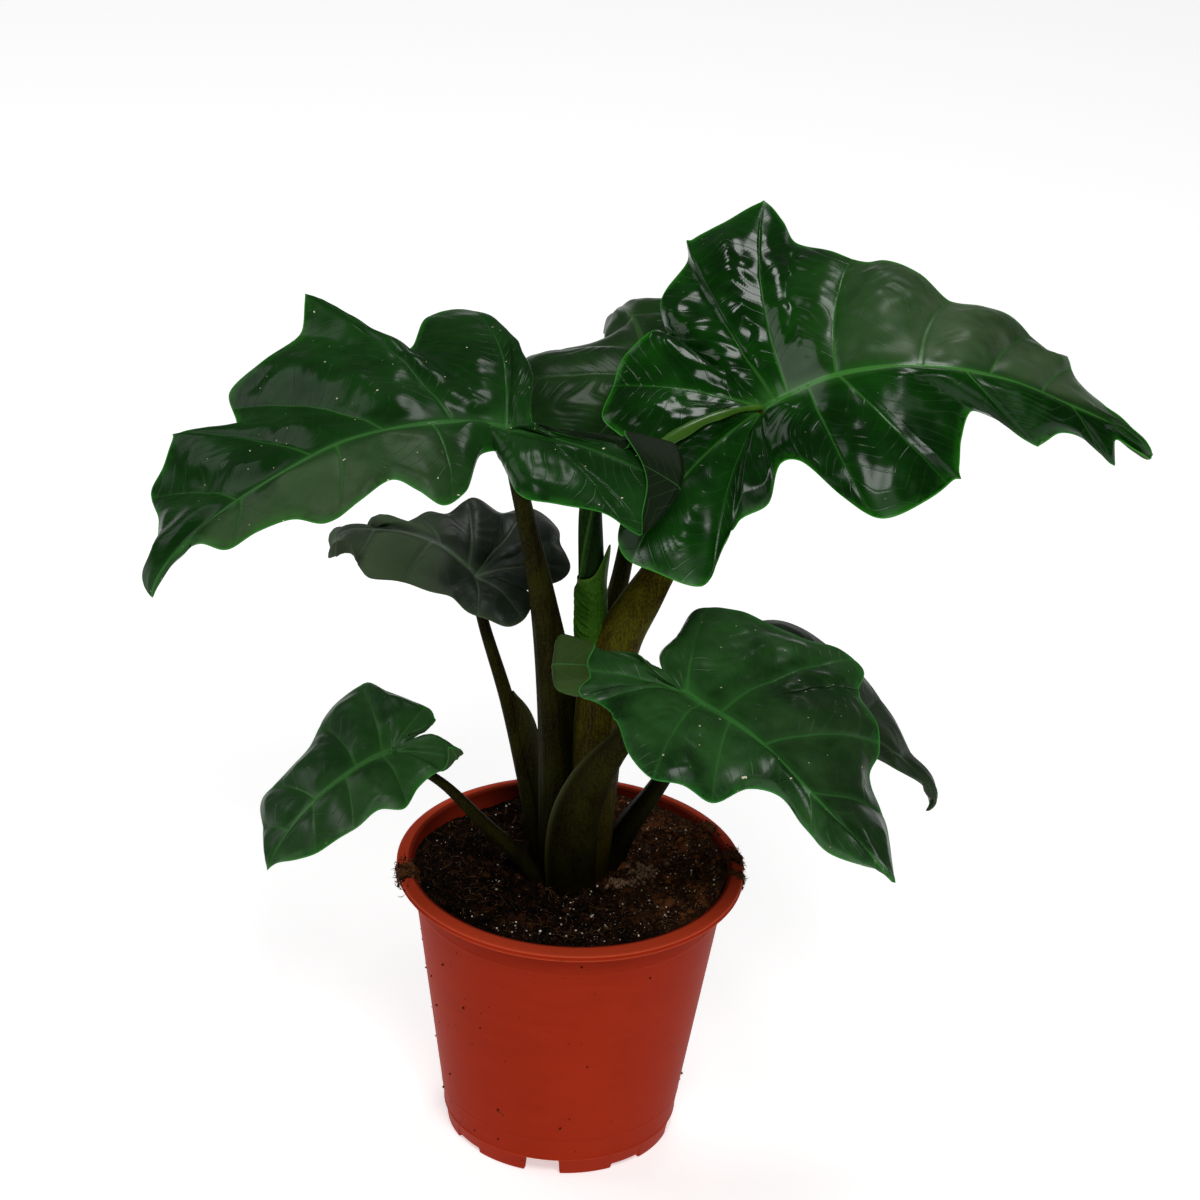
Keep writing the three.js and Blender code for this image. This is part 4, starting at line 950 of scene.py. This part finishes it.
def pot(finish, sides=720):
    """The pot as a closed profile turned about the Z axis. Where a notch is, the points
    of the skirt's foot are lifted to the notch height."""
    band = RIM_TOP - RIM_BAND
    w = wall_radius
    profile = np.concatenate([
        [[0.02, 0.0], [PAD_RADIUS - 1, 0.0], [PAD_RADIUS, 0.6], [PAD_RADIUS, FLOOR_UNDERSIDE],
         [w(0) - 3.4, FLOOR_UNDERSIDE]],
        [[w(0) - 3.0, 0.3], [w(0) - 2.6, 0.0], [w(0) - 0.9, 0.0], [w(0) - 0.5, 0.4]],
        [[w(11.8) - 0.5, 11.8], [w(12) + 0.1, 12.1], [w(12.4) + 0.45, 12.5], [w(13) + 0.5, 12.9],
         [w(13.4) + 0.2, 13.4], [w(14), 14.0], [w(16), 16.0], [w(28), 28.0],
         [w(29.4), 29.4], [w(29.8) + 0.15, 29.8], [w(30.2), 30.2], [w(32), 32.0],
         [w(60), 60.0], [w(100), 100.0], [w(140), 140.0], [w(178), 178.0],
         [w(180.4), 180.4], [w(181) + 0.15, 181.0], [w(181.6), 181.6],
         [w(184), 184.0], [w(band - 8), band - 8.0], [w(band - 2), band - 2.0]],
        arc((w(band) + 1.4, band - 1.2), 1.3, 180, 90, 5),
        [[RIM_RADIUS - 1.4, band], [RIM_RADIUS - 0.5, band + 0.2], [RIM_RADIUS, band + 0.7],
         [RIM_RADIUS - 0.1, band + 1.2], [RIM_RADIUS - 0.7, band + 1.7],
         [RIM_RADIUS - 0.8, band + 3.2], [RIM_RADIUS - 0.3, band + 3.8],
         [RIM_RADIUS - 0.2, band + 4.2], [RIM_RADIUS - 0.6, band + 4.7],
         [RIM_RADIUS - 2.0, band + 5.3], [RIM_RADIUS - 4.5, band + 6.3],
         [RIM_RADIUS - 6.5, RIM_TOP - 0.1], [BODY_TOP_RADIUS + 2.2, RIM_TOP]],
        arc((BODY_TOP_RADIUS + 1.2, RIM_TOP - 2.2), 2.1, 80, 180, 7),
        [[w(184) - WALL, 184.0], [w(120) - WALL, 120.0], [w(40) - WALL, 40.0],
         [w(FLOOR_TOP) - WALL, FLOOR_TOP], [0.02, FLOOR_TOP]],
    ])
    # Painted highlights: lighter lines on the lip's lower and upper edges, a lighter top face of
    # the rim and a light line along the foot's bead.
    painted_highlight = np.exp(-((profile[:, 0] - RIM_RADIUS) / 0.5)**2
                    - ((profile[:, 1] - band - 0.8) / 0.5)**2)
    painted_highlight += np.exp(-((profile[:, 0] - RIM_RADIUS + 0.3) / 0.5)**2
                     - ((profile[:, 1] - band - 4.2) / 0.45)**2)
    painted_highlight += 0.45 * (profile[:, 1] > band + 3.4) * (profile[:, 0] > w(band) - 1)
    painted_highlight += 0.5 * np.exp(-((profile[:, 1] - 12.7) / 0.4)**2) * (profile[:, 0] > w(11))
    shade = np.exp(-np.maximum(band - profile[:, 1], 0) / 7) * (profile[:, 0] < w(band) + 3)
    angle = np.arange(sides) * 2 * np.pi / sides
    pitch = 360.0 / NOTCHES
    off = np.abs((np.degrees(angle) - FIRST_NOTCH + pitch / 2) % pitch - pitch / 2)
    half = math.degrees(NOTCH_WIDTH / 2 / BASE_RADIUS)
    which = np.round((np.degrees(angle) - FIRST_NOTCH) / pitch).astype(int) % 2
    cut = (1 - smoothstep(off, half - 0.5, half + 0.5)) * np.array(NOTCH_HEIGHTS)[which]
    foot = np.zeros(len(profile))
    foot[FOOT_POINTS] = 1.0
    z = profile[:, 1:2] + foot[:, None] * cut[None]
    radius = np.broadcast_to(profile[:, :1], z.shape)
    wobble = 1 + 0.0012 * np.cos(2 * angle + 0.6) * (z / RIM_TOP)
    points = np.stack([radius * wobble * np.cos(angle), radius * wobble * np.sin(angle), z], -1)
    return new_piece("nursery_pot", points.reshape(-1, 3) * MM, tube_faces(len(profile), sides),
                     finish, attributes={"edge": np.repeat(painted_highlight, sides),
                                         "shade": np.repeat(shade, sides)})


def pot_finish():
    """Moulded terracotta-red plastic: faint flow bands, scuffs and specks of dried peat,
    painted highlights on the lip's edges, the rim's top and the foot line, and painted
    shade under the rim."""
    f = Finish("moulded red plastic", Specular_IOR_Level=0.025)
    where = f.place()
    broad = f.noise(where, 9.0, 3.0)
    fine = f.noise(where, 700.0, 3.0)
    band = f.noise(f.place((0.2, 0.2, 1.0)), 120.0, 3.0)
    scuff = f.ramp(f.noise(f.place((1.0, 1.0, 0.2)), 260.0, 6.0, 0.7, 1.2), 0.62, 0.78)
    speck = f.ramp(f.noise(where, 230.0, 2.0, 0.5), 0.73, 0.77)
    crumb = f.ramp(f.noise(where, 70.0, 3.0, 0.6), 0.74, 0.80)
    colour = f.mix(f.ramp(broad, 0.3, 0.7), (0.315, 0.0205, 0.0050), (0.355, 0.0255, 0.007))
    colour = f.mix(f.ramp(band, 0.35, 0.7) * 0.25, colour, (0.40, 0.028, 0.008))
    colour = f.mix(scuff * 0.10, colour, (0.48, 0.12, 0.06))
    colour = f.mix((speck + crumb).clamped() * 0.75, colour, (0.05, 0.02, 0.012))
    # Painted highlights on the lip's edges, the rim's top and the foot line.
    colour = f.mix(f.attribute("edge") * 0.5, colour, (0.70, 0.10, 0.04))
    colour = f.mix(f.attribute("shade") * 0.8, colour, (0.09, 0.006, 0.002))
    roughness = 0.42 + broad * 0.12 + scuff * 0.15 + speck * 0.3
    height = fine * 0.25 + band * 0.15 + speck * 0.9
    f.feed(Base_Color=colour, Roughness=roughness, Normal=f.bump(height, 0.0003, 0.8))
    return f


# ---------------------------------------------------------------- soil
SOIL_LEVEL = 200.0
SOIL_RADIUS = 107.6
SOIL_FOOT_RADIUS, SOIL_FOOT = 96.0, 150.0


def soil_height(x, y):
    """A gentle slope with hummocks, products of sines and cosines, heaped towards the
    wall except for a bell-shaped hollow at the back left, with clods and grains of
    smooth noise."""
    radius = np.hypot(x, y)
    hollow = np.exp(-((x + 70) / 60)**2 - ((y - 80) / 50)**2)
    heaped = 3.0 * smoothstep(radius, 70, 102) - 6.0 * hollow
    hummocks = np.sin(x * 0.09 + 1) * np.cos(y * 0.11) + 0.6 * np.sin(x * 0.21 - y * 0.17)
    u, v = x + 200, y + 200
    clods = 4.0 * (lumps(u, v, 13, 1) - 0.5) + 3.0 * (lumps(u, v, 5.5, 2) - 0.5)
    loose = 2.0 * (lumps(u, v, 2.3, 3) - 0.5)
    fade = 1 - 0.6 * smoothstep(radius, 96, 104)
    slope = SOIL_LEVEL + 0.012 * x - 0.022 * y
    return slope + heaped + (1.2 * hummocks + clods + loose) * fade


def eastward(points):
    """0 on the dark left and front of the soil, 1 on its right side, which is browner and
    also painted lighter to stand in for the light falling there.
    """
    return smoothstep(points[:, 0] + 0.5 * points[:, 1], -5, 65)


def soil(finish, sides=520, rings=120):
    """The soil's top as a disc of rings, the height a function of x and y, closed by a
    side down the wall and a flat foot."""
    angle = np.arange(sides) * 2 * np.pi / sides
    radius = SOIL_RADIUS * np.sqrt(np.linspace(0, 1, rings + 1))[1:]
    x = radius[:, None] * np.cos(angle)
    y = radius[:, None] * np.sin(angle)
    z = soil_height(x, y)
    top = np.stack([x, y, z], -1)[::-1].reshape(-1, 3)
    foot = np.stack([SOIL_FOOT_RADIUS * np.cos(angle), SOIL_FOOT_RADIUS * np.sin(angle),
                     np.full(sides, SOIL_FOOT)], -1)
    points = np.concatenate([foot, top])
    return new_piece("peat_soil", points * MM, tube_faces(rings + 1, sides), finish,
                     attributes={"east": eastward(points)})


def soil_finish(name, tint=None, side="east"):
    """Damp peat: near black, browner and full of shreds where the attribute `side` is
    high, with rusty patches, pale shreds, painted white glints and a rusty `tint` of its
    own. On the soil, `side` is its right side, where the colours are also painted lighter
    to stand in for light."""
    f = Finish(name, Specular_IOR_Level=0.04)
    where = f.place()
    coarse = f.noise(where, 120.0, 6.0, 0.7)
    fine = f.noise(where, 700.0, 6.0, 0.75)
    shred = f.noise(f.place((1.0, 0.35, 1.0)), 420.0, 5.0, 0.7, 1.5)
    spot = f.ramp(f.noise(where, 55.0, 4.0, 0.65), 0.52, 0.66)
    right = f.attribute(side)
    glint = f.ramp(f.noise(where, 1100.0, 1.0), 0.74, 0.76)
    # Where `right` is high the peat is browner and lighter, partly its own colour and partly
    # painted light.
    black = f.mix(right, (0.0004, 0.0002, 0.0001), (0.020, 0.008, 0.003))
    clod = f.ramp(coarse, 0.4, 0.7)
    colour = f.mix(clod * (right * 0.75 + 0.2), black, (0.044, 0.016, 0.005))
    colour = f.mix(spot * (right * 0.8 + 0.05), colour, (0.16, 0.050, 0.016))
    colour = f.mix(f.ramp(shred, 0.57, 0.70) * (right * 0.8 + 0.12), colour, (0.34, 0.17, 0.065))
    colour = f.mix(glint * (right * 0.5 + 0.4), colour, (0.65, 0.6, 0.5))
    if tint:
        colour = f.mix(f.attribute(tint) * (right * 0.8 + 0.12), colour, (0.26, 0.085, 0.026))
    f.feed(Base_Color=colour, Roughness=0.55 + fine * 0.3,
           Normal=f.bump(coarse * 0.6 + fine * 0.5, 0.0016, 1.0))
    return f


# Spills of peat over the rim: the middle and the half width in degrees, how far over the
# rim as a share of its outline, and the height. The outline is [radius, 0, z].
SPILLS = [(191, 6.5, 0.98, 1.5), (9, 5.0, 1.0, 1.9), (-2.5, 1.5, 0.9, 1.3), (30, 5.0, 0.5, 1.6)]
RIM_PATH = np.array([
    [104, 0, 200.5], [107.8, 0, 203.2], [109.2, 0, 205.6], [111.5, 0, RIM_TOP - 0.1],
    [114, 0, RIM_TOP - 0.3], [RIM_RADIUS - 2, 0, 204.6], [RIM_RADIUS - 0.5, 0, 203.5],
    [RIM_RADIUS - 0.6, 0, 200], [RIM_RADIUS - 1.5, 0, 199.3], [RIM_RADIUS - 4, 0, 199.8],
])


def spill_patch(name, middle, half, far, high, finish, steps=60, columns=110):
    """Peat lying over the rim: a sheet along the rim's outline whose lift is a bell round
    the middle, less where it is further over than `far`, times smooth noise. Where the
    lift is nothing the sheet lies inside the rim, which gives it a ragged edge."""
    share = np.linspace(0, 1, steps)[:, None]
    line = at_share(RIM_PATH, share[:, 0])
    normal = unit(np.cross(np.gradient(line, axis=0), [0.0, 1.0, 0.0]))
    off = np.linspace(-1.9, 1.9, columns)[None]
    bell = np.exp(-1.5 * off**2)
    x, y = 2.06 * half * (off + 2), 34 * share + 9
    rough = lumps(x, y, 4.0, 41) + 0.9 * lumps(x, y, 1.3, 42) - 0.95
    lift = high * np.minimum(1.6 * bell - 0.55, 3.0 * (far - share)) + 1.9 * rough * bell
    lift = np.where(lift < 0.05, -1.4, np.minimum(lift, 2.4)) - 0.9
    place = line[:, None] + normal[:, None] * lift[..., None]
    angle = np.radians(middle + half * off)
    grid = np.stack([place[..., 0] * np.cos(angle), place[..., 0] * np.sin(angle),
                     place[..., 2]], -1)
    return shell(name, grid[::-1], 1.8, finish, 0.3 + 0.5 * rough[::-1])


def spilled(count, seed):
    """Places on the spills, from the soil over the rim to as far as each one goes, where
    some hang down."""
    chance = np.random.default_rng(seed)
    middle, half, far, _ = np.array(SPILLS)[chance.integers(0, len(SPILLS), count)].T
    angle = np.radians(middle + 0.6 * half * chance.normal(size=count))
    line = at_share(RIM_PATH, chance.random(count)**0.7 * far * 0.85)
    hang = np.where((line[:, 0] > RIM_RADIUS - 1) & (far > 0.8), 9.0, 0.5) * chance.random(count)**2
    radius = line[:, 0] + chance.uniform(0.2, 1.2, count)
    return np.stack([radius * np.cos(angle), radius * np.sin(angle),
                     line[:, 2] + chance.uniform(0, 0.8, count) - hang], -1)


ICO_POINTS = np.array([[0, 0, 1], [0.894, 0, 0.447], [0.276, 0.851, 0.447], [-0.724, 0.526, 0.447],
                       [-0.724, -0.526, 0.447], [0.276, -0.851, 0.447], [0.724, 0.526, -0.447],
                       [-0.276, 0.851, -0.447], [-0.894, 0, -0.447], [-0.276, -0.851, -0.447],
                       [0.724, -0.526, -0.447], [0, 0, -1]])
ICO_FACES = np.array([[0, 1, 2], [0, 2, 3], [0, 3, 4], [0, 4, 5], [0, 5, 1], [1, 6, 2], [2, 7, 3],
                      [3, 8, 4], [4, 9, 5], [5, 10, 1], [2, 6, 7], [3, 7, 8], [4, 8, 9],
                      [5, 9, 10], [1, 10, 6], [6, 11, 7], [7, 11, 8], [8, 11, 9], [9, 11, 10],
                      [10, 11, 6]])


def grains(name, places, sizes, stretch, finish, seed, tint=None):
    """Many small lumps as one mesh: a 20-faced ball whose corners move by chance, is
    stretched, turned by a random rotation and set down at each place."""
    chance = np.random.default_rng(seed)
    count = len(places)
    ball = ICO_POINTS[None] * (1 + 0.35 * (chance.random((count, 12, 1)) - 0.5))
    ball = ball * np.stack([np.ones(count), 1 - stretch * chance.random(count),
                            1 - stretch * chance.random(count)], -1)[:, None]
    axes = unit(chance.normal(size=(count, 3)))
    other = unit(np.cross(axes, chance.normal(size=(count, 3))))
    turn = np.stack([axes, other, np.cross(axes, other)], 1)
    points = np.einsum("nij,njk->nik", ball * sizes[:, None, None], turn) + places[:, None]
    faces = (ICO_FACES[None] + 12 * np.arange(count)[:, None, None]).reshape(-1, 3)
    attributes = {"east": np.repeat(eastward(places), 12)}
    if tint is not None:
        attributes["tint"] = np.repeat(tint, 12)
    return new_piece(name, points.reshape(-1, 3) * MM, faces.tolist(), finish, False, attributes)


def scattered(count, inner, outer, seed, sink=0.0):
    """Places on the soil, spread evenly between two radii."""
    chance = np.random.default_rng(seed)
    radius = np.sqrt(chance.uniform(inner**2, outer**2, count))
    angle = chance.uniform(0, 2 * np.pi, count)
    x, y = radius * np.cos(angle), radius * np.sin(angle)
    return np.stack([x, y, soil_height(x, y) - sink], -1)


THIRDS = (0, 2.094, 4.189)


def fibres(name, places, lengths, thickness, finish, seed):
    """Thin curved threads as one mesh: five rings of three points along a bent line."""
    chance = np.random.default_rng(seed)
    count = len(places)
    heading = unit(chance.normal(size=(count, 3)) * [1, 1, 0.25])
    bend = unit(np.cross(heading, chance.normal(size=(count, 3))))
    t = np.linspace(-0.5, 0.5, 5)[None, :, None]
    line = places[:, None] + lengths[:, None, None] * (
        heading[:, None] * t + bend[:, None] * (0.25 - t**2) * 0.8)
    side = unit(np.cross(heading, bend))
    thin = thickness * np.array([0.4, 1, 1, 1, 0.4])[None, :, None]
    rings = [line + thin * (bend[:, None] * math.cos(a) + side[:, None] * math.sin(a))
             for a in THIRDS]
    points = np.stack(rings, 2).reshape(count, 15, 3)
    base = np.array(grid_faces(5, 3, wrap=True))
    ends = np.array([[2, 1, 0], [12, 13, 14]])
    quads = (base[None] + 15 * np.arange(count)[:, None, None]).reshape(-1, 4)
    caps = (ends[None] + 15 * np.arange(count)[:, None, None]).reshape(-1, 3)
    return new_piece(name, points.reshape(-1, 3) * MM, quads.tolist() + caps.tolist(), finish)


def plain_finish(name, low, high, roughness, scale=300.0):
    """A two-tone noisy colour with a fine bump."""
    f = Finish(name, Specular_IOR_Level=0.15)
    noise = f.noise(f.place(), scale, 5.0, 0.6)
    f.feed(Base_Color=f.mix(f.ramp(noise, 0.35, 0.65), low, high),
           Roughness=roughness + noise * 0.15, Normal=f.bump(noise, 0.0005, 0.8))
    return f


# ---------------------------------------------------------------- assembly
def settle(piece, slot, *nodes):
    """Puts a piece on its body, in place of the nodes that it stands for. `slot` is not used."""
    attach(piece, BODY)
    if nodes:
        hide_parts(*nodes)


# Colours are deep, fresh, rib, margin and underside.
LEAF_FINISHES = {
    "left": leaf_finish(
        "mid-green leaf", (0.0045, 0.027, 0.0035), (0.012, 0.062, 0.009), (0.035, 0.13, 0.027),
        (0.03, 0.22, 0.02), (0.002, 0.008, 0.0007), gloss=0.20, shine=0.09, specks=0.9),
    "right": leaf_finish(
        "glossy fresh leaf", (0.0015, 0.018, 0.0010), (0.005, 0.062, 0.002), (0.045, 0.18, 0.028),
        (0.03, 0.26, 0.012), (0.02, 0.05, 0.006), gloss=0.14, shine=0.20),
    "front": leaf_finish(
        "fresh mid leaf", (0.006, 0.030, 0.005), (0.034, 0.122, 0.026), (0.045, 0.19, 0.036),
        (0.03, 0.22, 0.03), (0.022, 0.050, 0.005), gloss=0.25, shine=0.19, specks=0.9),
    "back": leaf_finish(
        "shaded leaf", (0.008, 0.028, 0.006), (0.018, 0.060, 0.011), (0.03, 0.08, 0.02),
        (0.02, 0.09, 0.02), (0.010, 0.020, 0.004), gloss=0.28, shine=0.09),
    "mid_left": leaf_finish(
        "old dark leaf", (0.010, 0.018, 0.010), (0.027, 0.041, 0.023), (0.10, 0.15, 0.085),
        (0.05, 0.08, 0.03), (0.03, 0.045, 0.022), gloss=0.46, shine=0.35),
    "low_left": leaf_finish(
        "small leaf", (0.009, 0.038, 0.008), (0.020, 0.080, 0.014), (0.04, 0.14, 0.03),
        (0.03, 0.20, 0.02), (0.02, 0.05, 0.012), gloss=0.33, shine=0.16),
    "low_right": leaf_finish(
        "old small leaf", (0.007, 0.016, 0.006), (0.011, 0.026, 0.009), (0.03, 0.06, 0.02),
        (0.02, 0.05, 0.015), (0.016, 0.028, 0.010), gloss=0.36, shine=0.2),
}
for leaf_name, leaf in LEAVES.items():
    piece = blade(leaf_name + "_leaf", leaf, LEAF_FINISHES[leaf_name])
    settle(piece, "blade", "blade_" + leaf_name)

FOLD = leaf_finish("pale fold", (0.035, 0.10, 0.008), (0.08, 0.19, 0.014), (0.10, 0.2, 0.03),
                   (0.10, 0.25, 0.03), (0.05, 0.09, 0.012), gloss=0.25, shine=0.3)
settle(seam_strip("folded_lobe", LEAVES["right"], FOLD), "blade")

OLIVE = stalk_finish("dark olive stalk", (0.007, 0.0040, 0.0006), (0.024, 0.025, 0.0018),
                     (0.045, 0.05, 0.012))
BROAD = stalk_finish("olive stalk", (0.026, 0.012, 0.0010), (0.090, 0.090, 0.004),
                     (0.08, 0.09, 0.018), foot=0.93)
YOUNG = stalk_finish("young green leaf", (0.004, 0.016, 0.0015), (0.014, 0.054, 0.0045),
                     (0.05, 0.13, 0.02), gloss=0.34)
BRACT = stalk_finish("fresh bract", (0.018, 0.062, 0.003), (0.042, 0.125, 0.009),
                     (0.08, 0.17, 0.02), gloss=0.34)
for stalk_name, shape in STALKS.items():
    if stalk_name != "young_leaf":
        skin = BROAD if stalk_name == "petiole_right" else OLIVE
        settle(stalk(stalk_name + "_stalk", shape, skin), "petiole", stalk_name)
settle(rolled_leaf("rolled_leaf", STALKS["young_leaf"], YOUNG), "young_leaf", "young_leaf")
settle(bract("pointed_bract", STALKS["young_leaf"], BRACT), "young_leaf")
ATTACHED_EDGE = [[-46, 28, 322], [-41, 25, 300], [-35, 21, 275], [-29, 18, 245],
                 [-24, 15, 215], [-18, 11, 190]]
FREE_EDGE = [[-44, 22, 325], [-34, 14, 319], [-27, 10, 305], [-23, 8, 280], [-20, 6, 250],
             [-14, 3, 190]]
settle(hood("opened_sheath", ATTACHED_EDGE, FREE_EDGE, (0, 4, 0), OLIVE), "petiole")

settle(pot(pot_finish()), "pot", "pot")
settle(soil(soil_finish("dark peat")), "soil", "soil", "rhizome")
PEAT = soil_finish("peat crumbs", "tint")
CHANCE = np.random.default_rng(11)
CRUMBS, CHIPS, DOTS = 4200, 260, 700
settle(grains("peat_crumbs", scattered(CRUMBS, 0, 106, 21), 0.45 + 1.9 * CHANCE.random(CRUMBS)**3,
              0.6, PEAT, 22, CHANCE.random(CRUMBS)**3 * 0.8), "soil")
settle(grains("bark_chips", scattered(CHIPS, 20, 102, 23, 0.5), CHANCE.uniform(2.0, 5.0, CHIPS),
              0.75, PEAT, 24, CHANCE.random(CHIPS)**2), "soil")
WHITE = plain_finish("perlite", (0.62, 0.52, 0.40), (1.0, 0.90, 0.74), 0.6)
dots = scattered(DOTS, 15, 105, 25, -0.4)
towards = smoothstep(dots[:, 0] - 0.5 * dots[:, 1], -20, 70)
dots = dots[CHANCE.random(DOTS) < 0.3 + 0.7 * towards]
settle(grains("perlite", dots, 0.22 + 0.75 * CHANCE.random(len(dots))**3, 0.3, WHITE, 26), "soil")

for number, spill in enumerate(SPILLS, start=1):
    settle(spill_patch("spilled_peat_%d" % number, *spill,
                       soil_finish("spilled peat %d" % number, "edge", "edge")), "soil")
SPILLED = 700
settle(grains("spilled_crumbs", spilled(SPILLED, 31), CHANCE.uniform(0.4, 1.3, SPILLED), 0.6,
              PEAT, 32, CHANCE.random(SPILLED)**3 * 0.6), "soil")

CLING = np.random.default_rng(51)
LEFT_COUNT, FRONT_COUNT = 34, 36
cling_z = 194 - 178 * CLING.random(LEFT_COUNT + FRONT_COUNT)
cling_angle = np.radians(np.concatenate([CLING.uniform(150, 215, LEFT_COUNT),
                                         CLING.uniform(-150, 30, FRONT_COUNT)]))
cling_radius = wall_radius(cling_z) + 0.2
cling = np.stack([cling_radius * np.cos(cling_angle), cling_radius * np.sin(cling_angle),
                  cling_z], -1)
settle(grains("clinging_crumbs", cling, 0.3 + 1.0 * CLING.random(len(cling))**2, 0.5, PEAT, 52,
              CLING.random(len(cling))**3), "pot")

PALE_PEAT = plain_finish("pale peat lump", (0.05, 0.028, 0.014), (0.30, 0.18, 0.10), 0.7, 500.0)
HEAP = np.random.default_rng(61)
LARGE, SMALL = 60, 26
lump_x = np.concatenate([50 + 6 * HEAP.normal(size=LARGE), 34 + 5 * HEAP.normal(size=SMALL)])
lump_y = np.concatenate([-3 + 7 * HEAP.normal(size=LARGE), -16 + 3 * HEAP.normal(size=SMALL)])
pale = np.stack([lump_x, lump_y, soil_height(lump_x, lump_y) + 0.5], -1)
settle(grains("pale_lumps", pale, HEAP.uniform(1.0, 4.0, LARGE + SMALL), 0.5, PALE_PEAT, 62),
       "soil")

THREAD = plain_finish("red-brown fibre", (0.03, 0.012, 0.004), (0.16, 0.070, 0.026), 0.7)
THREADS, SPILLED_THREADS = 900, 420
settle(fibres("peat_fibres", scattered(THREADS, 20, 104, 27, -0.6),
              CHANCE.uniform(3, 13, THREADS), 0.2, THREAD, 28), "soil")
settle(fibres("spilled_fibres", spilled(SPILLED_THREADS, 33),
              CHANCE.uniform(3, 9, SPILLED_THREADS), 0.27, THREAD, 34), "soil")

# ---------------------------------------------------------------- floor, light, camera
# Metres from here on. The floor lies a hair below the pot and glows a little, so that it
# shows white.
FLOOR_HALF, FLOOR_LEVEL = 40.0, -0.0005
floor_finish = Finish("pale floor", Roughness=0.9, Specular_IOR_Level=0.1,
                      Base_Color=(0.86, 0.86, 0.86, 1.0), Emission_Color=(1.0, 1.0, 1.0, 1.0),
                      Emission_Strength=0.55)
floor_corners = [(x * FLOOR_HALF, y * FLOOR_HALF, FLOOR_LEVEL)
                 for x, y in ((-1, -1), (1, -1), (1, 1), (-1, 1))]
floor = new_piece("floor", floor_corners, [(0, 1, 2, 3)], floor_finish)

world = bpy.data.worlds.new("soft white studio")
bpy.context.scene.world = world
world.use_nodes = True
background = world.node_tree.nodes["Background"].inputs
background["Color"].default_value = (1.0, 1.0, 1.0, 1.0)
background["Strength"].default_value = 0.08


def soft_light(name, place, aim, size, power):
    """A square area light that faces its aim."""
    data = bpy.data.lights.new(name, "AREA")
    data.size = size
    data.energy = power
    lamp = bpy.data.objects.new(name, data)
    bpy.context.scene.collection.objects.link(lamp)
    look = mathutils.Vector(aim) - mathutils.Vector(place)
    lamp.location = place
    lamp.rotation_euler = look.to_track_quat("-Z", "Y").to_euler()


soft_light("side light", (-2.2, 0.45, 2.1), (0, 0, 0.45), 1.7, 21)
soft_light("high back light", (0.45, 1.35, 2.85), (0.05, 0.05, 0.5), 0.8, 22)
soft_light("key light", (0.3, -1.9, 2.75), (0, 0, 0.4), 1.05, 40)
soft_light("front light", (1.6, -3.0, 1.9), (0, 0, 0.3), 1.6, 11)

CAMERA_PLACE = (0.0119, -3.5494, 2.3625)
PITCH, ROLL = math.radians(28.77), math.radians(2.76)
view = mathutils.Vector((0, math.cos(PITCH), -math.sin(PITCH)))
level = mathutils.Vector((1, 0, 0))
upright = mathutils.Vector((0, math.sin(PITCH), math.cos(PITCH)))
right = level * math.cos(ROLL) + upright * math.sin(ROLL)
up = upright * math.cos(ROLL) - level * math.sin(ROLL)
camera_data = bpy.data.cameras.new("camera")
camera_data.sensor_width = 36.0
camera_data.lens = 180.0
camera = bpy.data.objects.new("camera", camera_data)
bpy.context.scene.collection.objects.link(camera)
camera.matrix_world = mathutils.Matrix([
    *zip(right, up, -view, CAMERA_PLACE),
    (0, 0, 0, 1),
])
bpy.context.scene.camera = camera
bpy.context.scene.view_settings.view_transform = "Standard"

bpy.context.view_layer.update()
